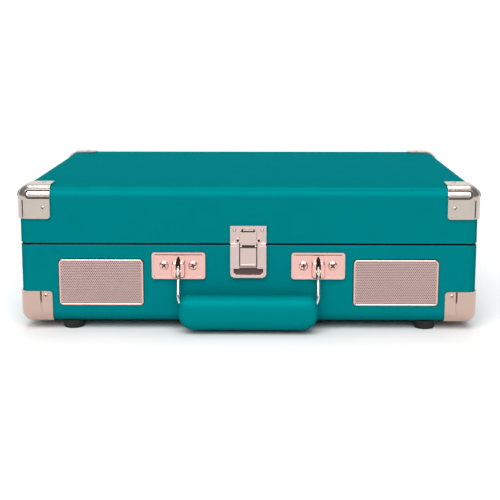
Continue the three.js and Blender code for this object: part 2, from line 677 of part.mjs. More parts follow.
function platter() {
  const rimInner = PLATTER_RADIUS - 3.5;
  const ringInner = DRIVE_RING_RADIUS - 3;
  const underside = PLATTER_TOP - 3;
  const bore = SPINDLE_RADIUS + 0.3;
  const profile = [
    [bore, PLATTER_BOTTOM + 0.6],
    [8, PLATTER_BOTTOM + 0.6],
    [8, underside],
    [ringInner, underside],
    [ringInner, BELT_BOTTOM - 1],
    [DRIVE_RING_RADIUS, BELT_BOTTOM - 1],
    [DRIVE_RING_RADIUS, underside],
    [rimInner, underside],
    [rimInner, PLATTER_BOTTOM],
    [PLATTER_RADIUS, PLATTER_BOTTOM],
    [PLATTER_RADIUS, PLATTER_TOP],
    [bore, PLATTER_TOP],
  ];
  return turned(profile, [PLATTER_X, PLATTER_Y], 36);
}

function slipMat() {
  const bottom = PLATTER_TOP + GAP;
  const profile = [
    [4, bottom],
    [PLATTER_RADIUS - 2, bottom],
    [PLATTER_RADIUS - 2, bottom + MAT_THICKNESS],
    [4, bottom + MAT_THICKNESS],
  ];
  return turned(profile, [PLATTER_X, PLATTER_Y], 36);
}

// Fixed in the deck. The platter rests and turns on its collar.
function spindle() {
  const profile = [
    [0, WELL_FLOOR - 5],
    [SPINDLE_RADIUS, WELL_FLOOR - 5],
    [SPINDLE_RADIUS, WELL_FLOOR + GAP],
    [7, WELL_FLOOR + GAP],
    [7, PLATTER_BOTTOM + 0.2],
    [SPINDLE_RADIUS, PLATTER_BOTTOM + 0.2],
    [SPINDLE_RADIUS, PLATTER_TOP + 10],
    [1.4, PLATTER_TOP + 12.5],
    [0, PLATTER_TOP + 12.5],
  ];
  return turned(profile, [PLATTER_X, PLATTER_Y], 12);
}

// The can, its mounting flange and the boss around its shaft.
function motor() {
  const top = WELL_FLOOR - 3 - GAP;
  const at = [PULLEY_X, PULLEY_Y];
  const can = bar("z", MOTOR_RADIUS, MOTOR_BOTTOM, top - 1, at, 20);
  const flange = lying(roundedOutline(52, 20, 8), at, top - 2, top);
  const boss = bar("z", 4, top - 3, top + 2, at);
  return cut(join(can, flange, boss), bar("z", 1.7, top - 12, top + 3, at));
}

function motorPulley() {
  const flangeRadius = PULLEY_RADIUS + 1.5;
  const top = BELT_BOTTOM + BELT_HEIGHT;
  const profile = [
    [0, WELL_FLOOR - 13],
    [1.2, WELL_FLOOR - 13],
    [1.2, BELT_BOTTOM - 1.2],
    [flangeRadius, BELT_BOTTOM - 1.2],
    [flangeRadius, BELT_BOTTOM - 0.4],
    [PULLEY_RADIUS, BELT_BOTTOM - 0.4],
    [PULLEY_RADIUS, top + 0.4],
    [flangeRadius, top + 0.4],
    [flangeRadius, top + 1.2],
    [0, top + 1.2],
  ];
  return turned(profile, [PULLEY_X, PULLEY_Y], 12);
}

// The outline of a belt around the drive ring and the pulley, `clear` outside them.
function beltOutline(clear) {
  const lean = Math.acos((DRIVE_RING_RADIUS - PULLEY_RADIUS) / PULLEY_OFFSET);
  const outline = new THREE.Shape();
  outline.absarc(0, 0, DRIVE_RING_RADIUS + clear, lean, 2 * Math.PI - lean);
  outline.absarc(PULLEY_OFFSET, 0, PULLEY_RADIUS + clear, -lean, lean);
  outline.closePath();
  return outline;
}

function driveBelt() {
  const outline = beltOutline(BELT_CLEARANCE + BELT_THICKNESS);
  outline.holes.push(beltOutline(BELT_CLEARANCE));
  const belt = extruded(outline, BELT_HEIGHT, 12).rotateZ(PULLEY_ANGLE);
  return solid(belt.translate(PLATTER_X, PLATTER_Y, BELT_BOTTOM));
}

add("platter", platter(), steel);
add("slip_mat", slipMat(), feltBlack);
add("spindle", spindle(), steel);
add("motor", motor(), steel);
add("motor_pulley", motorPulley(), steel);
add("drive_belt", driveBelt(), blackRubber);

// ---- Tonearm ---------------------------------------------------------------------------------------------

const GIMBAL_BOTTOM = 68.4;
const ARM_PIVOT = [ARM_X, ARM_PIVOT_Y];

// The round base, with a hollow stem through the deck, and a lug that carries the cue lever.
function tonearmBase() {
  const profile = [
    [2.5, DECK_BOTTOM - 6],
    [7, DECK_BOTTOM - 6],
    [7, DECK_TOP + GAP],
    [17, DECK_TOP + GAP],
    [17, GIMBAL_BOTTOM - 2],
    [15, GIMBAL_BOTTOM - GAP],
    [2.5, GIMBAL_BOTTOM - GAP],
  ];
  const round = turned(profile, ARM_PIVOT, 24);
  const { x, y, z } = CUE_LEVER;
  const lug = block([x - 8, y - 5, DECK_TOP + GAP], [x - 3, y + 12, z + 4]);
  const web = block([x - 12, y + 6, DECK_TOP + GAP], [x - 3, y + 20, DECK_TOP + 5]);
  return cut(join(round, lug, web), bar("x", 2, x - 9, x, [y, z]));
}

// The yoke that swings on the base. Its two ears hold the arm's pivot pins.
function tonearmGimbal() {
  const disc = bar("z", 12, GIMBAL_BOTTOM, GIMBAL_BOTTOM + 2.6, ARM_PIVOT, 20);
  const stem = bar("z", 2.1, GIMBAL_BOTTOM - 8, GIMBAL_BOTTOM + 1, ARM_PIVOT, 8);
  const ears = SIDES.map(([, side]) => {
    const [x0, x1] = [ARM_X + side * 8, ARM_X + side * 11.5].sort((a, b) => a - b);
    return block([x0, ARM_PIVOT_Y - 4.5, GIMBAL_BOTTOM + 1], [x1, ARM_PIVOT_Y + 4.5, ARM_Z + 5]);
  });
  const bore = bar("x", 1.6, ARM_X - 12, ARM_X + 12, [ARM_PIVOT_Y, ARM_Z]);
  return cut(join(disc, stem, ...ears), bore);
}

// The moulded arm: pivot block, tube, headshell with a finger lift, and the weight at its back end.
function tonearm() {
  const along = [ARM_X, ARM_Z];
  const stylusY = ARM_PIVOT_Y - ARM_LENGTH;
  const hub = block([ARM_X - 7, ARM_PIVOT_Y - 7, ARM_Z - 5.5], [ARM_X + 7, ARM_PIVOT_Y + 7, ARM_Z + 5.5]);
  const pins = bar("x", 1.2, ARM_X - 10.5, ARM_X + 10.5, [ARM_PIVOT_Y, ARM_Z]);
  const tube = bar("y", ARM_RADIUS, stylusY + 22, ARM_PIVOT_Y + 20, along);
  const weight = bar("y", 9.5, ARM_PIVOT_Y + 19, ARM_PIVOT_Y + 36, along, 20);
  const shell = new THREE.Shape();
  shell.moveTo(-7, -9);
  shell.lineTo(7, -9);
  shell.lineTo(7, 14);
  shell.lineTo(4, 28);
  shell.lineTo(-4, 28);
  shell.lineTo(-7, 14);
  shell.closePath();
  const headshell = lying(shell, [ARM_X, stylusY], ARM_Z - 1, ARM_Z + 3);
  const fingerLift = block([ARM_X + 6, stylusY - 4, ARM_Z], [ARM_X + 17, stylusY, ARM_Z + 1.2]);
  return join(hub, pins, tube, weight, headshell, fingerLift);
}

// The pickup under the headshell, with its stylus.
function cartridge() {
  const stylusY = ARM_PIVOT_Y - ARM_LENGTH;
  const top = ARM_Z - 1 - GAP;
  const body = block([ARM_X - 5.5, stylusY - 5, top - 4], [ARM_X + 5.5, stylusY + 14, top]);
  const guard = block([ARM_X - 2.5, stylusY - 3, top - 5], [ARM_X + 2.5, stylusY + 8, top - 3.5]);
  const needle = new THREE.ConeGeometry(0.8, top - 4.5 - STYLUS_Z, 8).rotateX(-Math.PI / 2);
  needle.translate(ARM_X, stylusY, (top - 4.5 + STYLUS_Z) / 2);
  return join(body, guard, solid(needle));
}

// A post with a flat saddle and an outer wall. The platter side stays open, so that the arm can swing out.
function armRest() {
  const saddle = ARM_Z - ARM_RADIUS - GAP;
  const [y0, y1] = [REST_Y - 4, REST_Y + 4];
  const footPlate = block([ARM_X - 7, y0 - 3, DECK_TOP + GAP], [ARM_X + 9, y1 + 3, DECK_TOP + 2.5]);
  const post = block([ARM_X - 4, y0, DECK_TOP + 1], [ARM_X + 4, y1, saddle]);
  const wall = block([ARM_X + 4.6, y0, saddle - 4], [ARM_X + 7.2, y1, ARM_Z + 0.5]);
  const shelf = block([ARM_X - 4, y0, saddle - 4], [ARM_X + 7.2, y1, saddle - 1]);
  const lugs = [y0, y1 - 2].map((y) => block([ARM_X + 5, y, ARM_Z - 3], [CLIP_PIVOT[0] + 2, y + 2, ARM_Z + 4]));
  const pin = bar("y", 0.8, y0, y1, CLIP_PIVOT, 8);
  return join(footPlate, post, wall, shelf, ...lugs, pin);
}

// The clip that holds the arm down for carrying. Drawn closed over the arm, then swung open about its pin.
function armRestClip() {
  const [pivotX, pivotZ] = CLIP_PIVOT;
  const [y0, y1] = [REST_Y - 1.6, REST_Y + 1.6];
  const knuckle = bar("y", 1.9, y0, y1, CLIP_PIVOT);
  const riser = block([pivotX - 1, y0, pivotZ], [pivotX + 1, y1, pivotZ + 4.5]);
  const top = block([pivotX - 18.5, y0, pivotZ + 3], [pivotX + 1, y1, pivotZ + 4.5]);
  const lip = block([pivotX - 18.5, y0, pivotZ - 1], [pivotX - 17, y1, pivotZ + 4]);
  const closed = cut(join(knuckle, riser, top, lip), bar("y", 1.2, y0 - 1, y1 + 1, CLIP_PIVOT));
  return closed.translate([-pivotX, 0, -pivotZ]);
}

// The lever beside the arm's base that raises the platform. It lies forwards when the arm is down.
function cueLever() {
  const { x, y, z, length } = CUE_LEVER;
  const hub = bar("x", 3.2, x - 2.6, x + 2.4, [y, z]);
  const stub = bar("x", 1.6, x - 7, x - 2, [y, z]);
  const arm = block([x - 1.4, y - length, z - 1], [x + 1.4, y, z + 1]);
  const pad = block([x - 3, y - length - 4, z - 1.4], [x + 3, y - length + 4, z + 1.4]);
  return join(hub, stub, arm, pad);
}

// The curved pad under the arm, on a pin through the deck.
function cuePlatform() {
  const top = ARM_Z - ARM_RADIUS - GAP;
  const start = THREE.MathUtils.degToRad(-98 - 45);
  const end = THREE.MathUtils.degToRad(-82);
  const arc = new THREE.Shape();
  arc.absarc(0, 0, CUE_RADIUS + 2, start, end, false);
  arc.absarc(0, 0, CUE_RADIUS - 2, end, start, true);
  arc.closePath();
  const pad = lying(arc, ARM_PIVOT, top - 2, top, 4);
  return join(pad, bar("z", 2.4, DECK_BOTTOM - 6, top - 1, cuePinPlace()));
}

add("tonearm_base", tonearmBase(), blackPlastic);
add("tonearm_gimbal", tonearmGimbal(), blackPlastic);
add("tonearm", tonearm(), blackPlastic);
add("cartridge", cartridge(), redPlastic);
add("arm_rest", armRest(), blackPlastic);
const clip = add("arm_rest_clip", armRestClip(), blackPlastic);
clip.position.set(CLIP_PIVOT[0], 0, CLIP_PIVOT[1]);
clip.rotation.y = CLIP_OPEN;
add("cue_lever", cueLever(), blackPlastic);
add("cue_platform", cuePlatform(), blackPlastic);

// ---- Controls and 45 rpm adapter -------------------------------------------------------------------------

function volumeKnob() {
  const profile = [
    [0, DECK_TOP - 18],
    [2.6, DECK_TOP - 18],
    [2.6, DECK_TOP + 1],
    [10, DECK_TOP + 1],
    [10, DECK_TOP + 9],
    [8.6, DECK_TOP + 11],
    [0, DECK_TOP + 11],
  ];
  const pointer = block([VOLUME.x - 0.6, VOLUME.y + 3, DECK_TOP + 10], [VOLUME.x + 0.6, VOLUME.y + 9.4, DECK_TOP + 11.5]);
  return join(turned(profile, [VOLUME.x, VOLUME.y], 20), pointer);
}

// A flat knob on a neck through its slot, held by a shoe under the deck.
function sliderKnob({ x, y }) {
  const cap = block([x - 3.5, y - 5, DECK_TOP + 0.4], [x + 3.5, y + 5, DECK_TOP + 4]);
  const neck = block([x - 1.8, y - 1.5, DECK_BOTTOM - 3], [x + 1.8, y + 1.5, DECK_TOP + 1]);
  const shoe = block([x - 3, y - 4, DECK_BOTTOM - 4], [x + 3, y + 4, DECK_BOTTOM - 0.5]);
  return join(cap, neck, shoe);
}

function adapter45() {
  const bottom = DECK_TOP - 4 + GAP;
  const { radius, height } = ADAPTER;
  const profile = [
    [3.7, bottom],
    [radius, bottom],
    [radius, bottom + height - 1.5],
    [radius - 1.5, bottom + height],
    [8, bottom + height],
    [3.7, bottom + height - 3],
  ];
  return turned(profile, [ADAPTER.x, ADAPTER.y], 24);
}

add("volume_knob", volumeKnob(), blackPlastic);
add("speed_selector", sliderKnob(SPEED_SLOT), blackPlastic);
add("auto_stop_switch", sliderKnob(STOP_SLOT), blackPlastic);
add("adapter_45", adapter45(), blackPlastic);

// ---- Electronics -----------------------------------------------------------------------------------------

// The plate inside the back wall, with two phono sockets and the power inlet.
function rearPanel() {
  const back = INNER_BACK - GAP;
  const plate = standing(roundedOutline(REAR_WIDTH + 10, REAR_HEIGHT + 7, 3), [REAR_X, REAR_Z], back - 2, back);
  const sockets = [-16, 0].flatMap((x) => [bar("y", 4.2, back - 1, CASE_DEPTH - 1, [REAR_X + x, REAR_Z])]);
  const bores = [-16, 0].map((x) => bar("y", 1.7, back + 2, CASE_DEPTH, [REAR_X + x, REAR_Z], 8));
  const inletAt = [REAR_X + 18, REAR_Z];
  const inlet = cut(
    bar("y", 5.2, back - 1, CASE_DEPTH - 4, inletAt),
    bar("y", 2.9, back + 1, CASE_DEPTH, inletAt),
  );
  return join(cut(join(plate, ...sockets), ...bores), inlet, bar("y", 1, back, CASE_DEPTH - 5, inletAt, 8));
}

// The circuit board on its four pegs, with the volume control, two capacitors, a heat sink and a socket.
function amplifierBoard() {
  const { x, y, z, width, depth } = BOARD;
  const half = [width / 2, depth / 2];
  const sheet = block([x - half[0], y - half[1], z], [x + half[0], y + half[1], z + 1.6]);
  const pegs = [-1, 1].flatMap((i) =>
    [-1, 1].map((j) => {
      const at = [x + i * (half[0] - 5), y + j * (half[1] - 5)];
      return bar("z", 3, INNER_FLOOR + GAP, z + 1, at, 8);
    }),
  );
  const control = bar("z", 8, z + 1, DECK_BOTTOM - 4, [VOLUME.x, VOLUME.y], 16);
  const capacitors = [-14, -2].map((dx) => bar("z", 4.5, z + 1, z + 16, [x + dx, y + 14], 10));
  const heatSink = block([x + 8, y + 8, z + 1], [x + 26, y + 14, z + 18]);
  const socket = block([x - half[0] + 2, y - 12, z + 1], [x - half[0] + 10, y + 6, z + 8]);
  const shaftHole = bar("z", 3.1, DECK_TOP - 20, DECK_TOP, [VOLUME.x, VOLUME.y]);
  return cut(join(sheet, ...pegs, control, ...capacitors, heatSink, socket), shaftHole);
}

// Leads run from their piece down to the floor of the case, along it, and up to the board's left edge.
const LEAD_RADIUS = 1.3;
const LEAD_FLOOR = INNER_FLOOR + 3.6;
const BOARD_LEFT = BOARD.x - BOARD.width / 2;
const BOARD_BACK = BOARD.y + BOARD.depth / 2;

// The last points of a lead, which ends just short of the board's left edge at the given y.
function upToBoard(y) {
  return [
    [BOARD_LEFT - 22, y, LEAD_FLOOR],
    [BOARD_LEFT - 9, y, BOARD.z - 2],
    [BOARD_LEFT - 1.2, y, BOARD.z + 0.8],
  ];
}

const speakerBack = CASE_WALL + GAP + SPEAKER_DEPTH;
const leads = {
  motor_lead: [
    [PULLEY_X + MOTOR_RADIUS + 0.6, PULLEY_Y, MOTOR_BOTTOM + 6],
    [PULLEY_X + MOTOR_RADIUS + 10, PULLEY_Y, LEAD_FLOOR + 4],
    [PULLEY_X + 60, PULLEY_Y - 6, LEAD_FLOOR],
    [20, 84, LEAD_FLOOR],
    ...upToBoard(78),
  ],
  speaker_lead_left: [
    [-SPEAKER_X, speakerBack + 0.8, SPEAKER_Z],
    [-SPEAKER_X, speakerBack + 6, SPEAKER_Z - 2],
    [-SPEAKER_X + 3, speakerBack + 10, SPEAKER_Z - 14],
    [-SPEAKER_X + 20, speakerBack + 16, LEAD_FLOOR],
    [0, 58, LEAD_FLOOR],
    ...upToBoard(58),
  ],
  speaker_lead_right: [
    [SPEAKER_X - 18, speakerBack - 9, SPEAKER_Z - 2],
    [SPEAKER_X - 22, speakerBack - 3, SPEAKER_Z - 10],
    [SPEAKER_X - 34, speakerBack + 6, LEAD_FLOOR + 3],
    [BOARD_LEFT - 9, 48, BOARD.z - 2],
    [BOARD_LEFT - 1.2, 48, BOARD.z + 0.8],
  ],
  tonearm_lead: [
    [ARM_X, ARM_PIVOT_Y, DECK_BOTTOM - 6.6],
    [ARM_X, ARM_PIVOT_Y - 3, DECK_BOTTOM - 20],
    [ARM_X, ARM_PIVOT_Y - 22, LEAD_FLOOR + 4],
    [ARM_X, BOARD_BACK + 24, LEAD_FLOOR],
    [ARM_X, BOARD_BACK + 9, BOARD.z - 2],
    [ARM_X, BOARD_BACK + 1.2, BOARD.z + 0.8],
  ],
  rear_lead: [
    [REAR_X, INNER_BACK - 3.2, REAR_Z],
    [REAR_X, INNER_BACK - 9, REAR_Z - 2],
    [REAR_X, INNER_BACK - 15, REAR_Z - 12],
    [REAR_X + 2, INNER_BACK - 34, LEAD_FLOOR],
    [REAR_X + 4, 150, LEAD_FLOOR],
    [REAR_X + 18, 104, LEAD_FLOOR + 1],
    [BOARD_LEFT - 9, 92, BOARD.z - 2],
    [BOARD_LEFT - 1.2, 92, BOARD.z + 0.8],
  ],
};

add("rear_panel", rearPanel(), blackPlastic);
add("amplifier_board", amplifierBoard(), circuitGreen);
for (const [name, points] of Object.entries(leads)) {
  add(name, wire(points, LEAD_RADIUS, 14, 6), copperLead);
}

player.position.y = -OBJECT_MIDDLE_Y;

export default player;
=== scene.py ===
"""The looks of the suitcase record player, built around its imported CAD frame.

Sizes are in millimetres in the case's own coordinates: x = 0 is the middle of the case, y = 0 its front face,
with y growing towards the back, and z = 0 the table. world() turns them into the frame's metres.
"""

import math

import bpy
from mathutils import Euler, Matrix, Vector, noise

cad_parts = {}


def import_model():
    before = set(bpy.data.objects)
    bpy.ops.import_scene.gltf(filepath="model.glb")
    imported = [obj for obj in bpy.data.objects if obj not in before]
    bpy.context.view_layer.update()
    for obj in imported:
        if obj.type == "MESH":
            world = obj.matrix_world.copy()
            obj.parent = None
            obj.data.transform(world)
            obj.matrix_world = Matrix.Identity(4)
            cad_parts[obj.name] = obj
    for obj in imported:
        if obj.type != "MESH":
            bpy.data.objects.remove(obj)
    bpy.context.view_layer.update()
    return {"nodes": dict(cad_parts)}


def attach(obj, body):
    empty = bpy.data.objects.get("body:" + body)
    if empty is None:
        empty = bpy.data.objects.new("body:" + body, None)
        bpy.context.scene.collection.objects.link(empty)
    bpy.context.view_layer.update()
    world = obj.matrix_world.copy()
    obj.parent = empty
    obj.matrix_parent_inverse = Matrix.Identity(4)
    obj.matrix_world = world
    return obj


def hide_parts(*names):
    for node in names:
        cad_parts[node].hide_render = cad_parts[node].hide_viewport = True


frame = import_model()


# ---- Sizes -----------------------------------------------------------------------------------------------

MIDDLE_Y = 126.5  # the frame's origin, in the case's coordinates

CASE_WIDTH, CASE_DEPTH = 356, 267
CASE_BOTTOM, CASE_TOP = 7, 113.5
CASE_RADIUS = 8
CASE_WALL, CASE_PANEL = 9, 5.5
BASE_TOP, LID_BOTTOM = 68.35, 69.65
INNER_SIDE = CASE_WIDTH / 2 - CASE_WALL
INNER_BACK = CASE_DEPTH - CASE_WALL
INNER_FLOOR = CASE_BOTTOM + CASE_PANEL
CASE_MIDDLE = (0, CASE_DEPTH / 2, (CASE_BOTTOM + CASE_TOP) / 2)

SPEAKER_X, SPEAKER_Z = 115, 38.5
GRILLE_WIDTH, GRILLE_HEIGHT = 66, 36.5
BRACKET_X, BRACKET_Z = 54.3, 52.3
HANDLE_PIVOT = (-5.2, 48.3)
HINGE_X = 115
DECK_TOP, DECK_BOTTOM, WELL_FLOOR = 60, 57, 54
PLATTER = (-48, 132)
MAT_RADIUS, MAT_BOTTOM, MAT_TOP = 95.5, 67.3, 68.5
PULLEY = (PLATTER[0] + 76 * math.cos(math.radians(200)), PLATTER[1] + 76 * math.sin(math.radians(200)))
ARM_X, ARM_Y, ARM_Z = 107, 215, 78
STYLUS_Y = 25
VOLUME = (140, 46)
ADAPTER = (142, 140)
SPEED_SLOT = (134, 76, 12)
STOP_SLOT = (137, 96, 6)


def world(point):
    x, y, z = point
    return Vector((x, y - MIDDLE_Y, z)) / 1000


# ---- Materials -------------------------------------------------------------------------------------------


def srgb(r, g, b):
    """A colour given as 0 to 255 values, as the shader's linear colour."""

    def linear(value):
        value /= 255
        return value / 12.92 if value <= 0.04045 else ((value + 0.055) / 1.055) ** 2.4

    return (linear(r), linear(g), linear(b), 1)


class Look:
    """A material with one Principled shader, and the few nodes that the looks below add to it."""

    def __init__(
        self,
        name,
        color,
        roughness,
        metallic=0.0,
        specular=0.5,
        coat=0.0,
        sheen=0.0,
        gloss_color=(1, 1, 1, 1),
    ):
        self.material = bpy.data.materials.new(name)
        self.material.use_nodes = True
        self.material.diffuse_color = color
        self.tree = self.material.node_tree
        self.shader = self.tree.nodes["Principled BSDF"]
        self.shader.inputs["Base Color"].default_value = color
        self.shader.inputs["Roughness"].default_value = roughness
        self.shader.inputs["Metallic"].default_value = metallic
        self.shader.inputs["Specular IOR Level"].default_value = specular
        self.shader.inputs["Coat Weight"].default_value = coat
        self.shader.inputs["Coat Roughness"].default_value = 0.3
        self.shader.inputs["Sheen Weight"].default_value = sheen
        self.shader.inputs["Specular Tint"].default_value = gloss_color

    def node(self, kind, **inputs):
        made = self.tree.nodes.new(kind)
        for name, value in inputs.items():
            socket = made.inputs[name.replace("_", " ")]
            if isinstance(value, bpy.types.NodeSocket):
                self.tree.links.new(value, socket)
            else:
                socket.default_value = value
        return made

    def coordinates(self, stretch=(1, 1, 1)):
        place = self.node("ShaderNodeTexCoord")
        mapping = self.node("ShaderNodeMapping", Vector=place.outputs["Object"], Scale=stretch)
        return mapping.outputs["Vector"]

    def noise(self, scale, detail=2.0, stretch=(1, 1, 1)):
        made = self.node("ShaderNodeTexNoise", Vector=self.coordinates(stretch), Scale=scale, Detail=detail)
        return made.outputs["Fac"]

    def pebbles(self, scale):
        """The grain of embossed leatherette: rounded cells with creases between them."""
        made = self.node("ShaderNodeTexVoronoi", Vector=self.coordinates(), Scale=scale)
        made.feature = "SMOOTH_F1"
        return made.outputs["Distance"]

    def bump(self, height, strength, distance):
        """Raises the surface by `height`, on top of any bump there already."""
        inputs = {"Height": height, "Strength": strength, "Distance": distance}
        normal = self.shader.inputs["Normal"]
        if normal.is_linked:
            inputs["Normal"] = normal.links[0].from_socket
        made = self.node("ShaderNodeBump", **inputs)
        self.tree.links.new(made.outputs["Normal"], normal)
        return self

    def ranged(self, value, low, high):
        made = self.node("ShaderNodeMapRange", Value=value, To_Min=low, To_Max=high)
        return made.outputs["Result"]

    def rough(self, value, low, high):
        self.tree.links.new(self.ranged(value, low, high), self.shader.inputs["Roughness"])
        return self

    def tint(self, value, dark, light):
        """Varies the base colour between two colours."""
        made = self.node("ShaderNodeMix")
        made.data_type = "RGBA"
        colors = [socket for socket in made.inputs if socket.type == "RGBA"]
        self.tree.links.new(value, made.inputs[0])
        colors[0].default_value = dark
        colors[1].default_value = light
        out = [socket for socket in made.outputs if socket.type == "RGBA"][0]
        self.tree.links.new(out, self.shader.inputs["Base Color"])
        return self


def leatherette_look(name, color, dark, grain=1000):
    """Embossed vinyl with a slight pearl, so that its reflections take its own colour."""
    look = Look(name, color, 0.4, metallic=0.16, specular=0.0, gloss_color=srgb(0, 178, 184))
    look.tint(look.noise(60, 4), dark, color)
    look.bump(look.pebbles(grain), 0.3, 0.0001)
    look.bump(look.noise(5200, 2), 0.12, 0.00003)
    look.rough(look.noise(240, 3), 0.34, 0.44)
    return look.material


def metal_look(name, color, roughness, brushed=(1, 1, 1), scale=900):
    look = Look(name, color, roughness, metallic=1.0)
    look.rough(look.noise(scale, 3, brushed), roughness * 0.9, roughness * 1.15)
    look.tint(look.noise(40, 3, brushed), tuple(0.95 * c for c in color[:3]) + (1,), color)
    return look.material


def plastic_look(name, color, roughness, texture=2600):
    look = Look(name, color, roughness, specular=0.45)
    look.bump(look.noise(texture, 2), 0.25, 0.00003)
    look.rough(look.noise(300, 2), roughness * 0.9, roughness * 1.1)
    return look.material


def felt_look():
    look = Look("mat_felt", srgb(30, 30, 32), 0.95, specular=0.1, sheen=0.12)
    look.tint(look.noise(900, 5), srgb(22, 22, 24), srgb(44, 44, 47))
    look.bump(look.noise(2600, 4), 0.8, 0.0002)
    return look.material


def cloth_look():
    """The thin acoustic cloth behind a grille."""
    look = Look("grille_cloth", srgb(34, 30, 29), 0.95, specular=0.05)
    look.bump(look.noise(3000, 2), 0.5, 0.0001)
    return look.material


leatherette = leatherette_look("leatherette_teal", srgb(0, 112, 116), srgb(0, 106, 111))
grip_leatherette = leatherette_look("leatherette_teal_grip", srgb(0, 117, 120), srgb(0, 111, 115), 1300)
lining = plastic_look("lid_lining", srgb(26, 26, 28), 0.85, 1800)
rose_nickel = metal_look("rose_nickel", srgb(238, 190, 182), 0.24)
latch_nickel = metal_look("latch_nickel", srgb(214, 193, 187), 0.22)
corner_nickel = metal_look("corner_nickel", srgb(200, 190, 180), 0.25)
# The base caps get the lid caps' nickel painted a little darker and pinker, as the lower corners' shade
shaded_corner_nickel = metal_look("shaded_corner_nickel", srgb(205, 177, 165), 0.25)
grille_nickel = metal_look("grille_nickel", srgb(210, 180, 176), 0.36)
wire_nickel = metal_look("wire_nickel", srgb(240, 232, 228), 0.16)
recess_shade = plastic_look("recess_shade", srgb(78, 52, 54), 0.5)
groove_shade = plastic_look("groove_shade", srgb(62, 50, 48), 0.6)
zinc_steel = metal_look("zinc_steel", srgb(196, 196, 200), 0.3, (1, 1, 8))
platter_metal = metal_look("platter_metal", srgb(190, 190, 193), 0.32, (1, 1, 12))
pulley_brass = metal_look("pulley_brass", srgb(208, 168, 88), 0.25)
foot_rubber = plastic_look("foot_rubber", srgb(14, 14, 15), 0.75)
deck_plastic = plastic_look("deck_plastic", srgb(30, 30, 32), 0.55, 1500)
black_plastic = plastic_look("black_plastic", srgb(20, 20, 22), 0.32)
# Painted shade: a near-black for thin sheets put in gaps, slots and holes, where shade falls
slot_and_gap_shade = plastic_look("slot_and_gap_shade", srgb(12, 9, 9), 0.8)
cartridge_red = plastic_look("cartridge_red", srgb(176, 34, 26), 0.3)
circuit_board = plastic_look("circuit_board", srgb(26, 104, 58), 0.4)
capacitor_blue = plastic_look("capacitor_blue", srgb(30, 42, 92), 0.35)
cone_paper = plastic_look("cone_paper", srgb(40, 40, 42), 0.9, 900)
lead_insulation = plastic_look("lead_insulation", srgb(130, 26, 26), 0.5)
print_white = plastic_look("print_white", srgb(225, 225, 225), 0.6)
socket_red = plastic_look("socket_red", srgb(190, 26, 26), 0.35)
socket_white = plastic_look("socket_white", srgb(232, 232, 228), 0.35)
grille_cloth = cloth_look()
mat_felt = felt_look()

# ---- Making pieces ---------------------------------------------------------------------------------------


def mesh_object(name, points, faces):
    """A new mesh object from points in millimetres."""
    mesh = bpy.data.meshes.new(name)
    mesh.from_pydata([world(point) for point in points], [], faces)
    mesh.validate()
    made = bpy.data.objects.new(name, mesh)
    bpy.context.scene.collection.objects.link(made)
    return made


def rounded(width, height, radius, steps=6, centre=(0, 0)):
    """The outline of a rounded rectangle. `radius` is one number, or one each for the corners from the one at
    high x and high y, going round towards low x."""
    radii = radius if isinstance(radius, tuple) else (radius,) * 4
    signs = [(1, 1), (-1, 1), (-1, -1), (1, -1)]
    points = []
    for quarter, ((sx, sy), r) in enumerate(zip(signs, radii)):
        cx = centre[0] + sx * (width / 2 - r)
        cy = centre[1] + sy * (height / 2 - r)
        for step in range(steps + 1):
            turn = (quarter + step / steps) * math.pi / 2
            points.append((cx + r * math.cos(turn), cy + r * math.sin(turn)))
    return points


def circle(radius, centre=(0, 0), sides=40):
    turns = [2 * math.pi * i / sides for i in range(sides)]
    return [(centre[0] + radius * math.cos(t), centre[1] + radius * math.sin(t)) for t in turns]


def prism(name, outline, axis, start, end):
    """An outline pushed along an axis from one coordinate to another. The outline is in the other two axes:
    (y, z) for x, (x, z) for y and (x, y) for z."""
    place = {
        "x": lambda a, b, along: (along, a, b),
        "y": lambda a, b, along: (a, along, b),
        "z": lambda a, b, along: (a, b, along),
    }[axis]
    count = len(outline)
    points = [place(a, b, along) for along in (start, end) for a, b in outline]
    sides = [(i, (i + 1) % count, count + (i + 1) % count, count + i) for i in range(count)]
    made = mesh_object(name, points, [tuple(range(count))[::-1], tuple(range(count, 2 * count)), *sides])
    return turned_outwards(made)


def turned_outwards(made):
    """Points every face of closed shells outwards."""
    volume = 0.0
    made.data.calc_loop_triangles()
    for triangle in made.data.loop_triangles:
        a, b, c = (made.data.vertices[i].co for i in triangle.vertices)
        volume += a.dot(b.cross(c))
    if volume < 0:
        made.data.flip_normals()
    return made


def box(name, low, high):
    (x0, y0, z0), (x1, y1, z1) = low, high
    return prism(name, [(x0, y0), (x1, y0), (x1, y1), (x0, y1)], "z", z0, z1)


def turned(name, profile, at, sides=72, axis="z", stretch=1.0):
    """A body of revolution. The profile holds (radius, height) pairs. `at` is the axis's place in the other
    two axes; along y, `stretch` widens it in x."""
    points, faces = [], []
    for radius, height in profile:
        for i in range(sides):
            turn = 2 * math.pi * i / sides
            a, b = radius * math.cos(turn), radius * math.sin(turn)
            if axis == "z":
                points.append((at[0] + a, at[1] + b, height))
            elif axis == "y":
                points.append((at[0] + a * stretch, height, at[1] + b))
            else:
                points.append((height, at[0] + a, at[1] + b))
    rings = len(profile)
    closed = profile[0][0] > 0 and profile[-1][0] > 0
    for ring in range(rings if closed else rings - 1):
        low, high = ring * sides, (ring + 1) % rings * sides
        faces += [(low + i, low + (i + 1) % sides, high + (i + 1) % sides, high + i) for i in range(sides)]
    made = mesh_object(name, points, faces)
    weld(made)
    return turned_outwards(made)


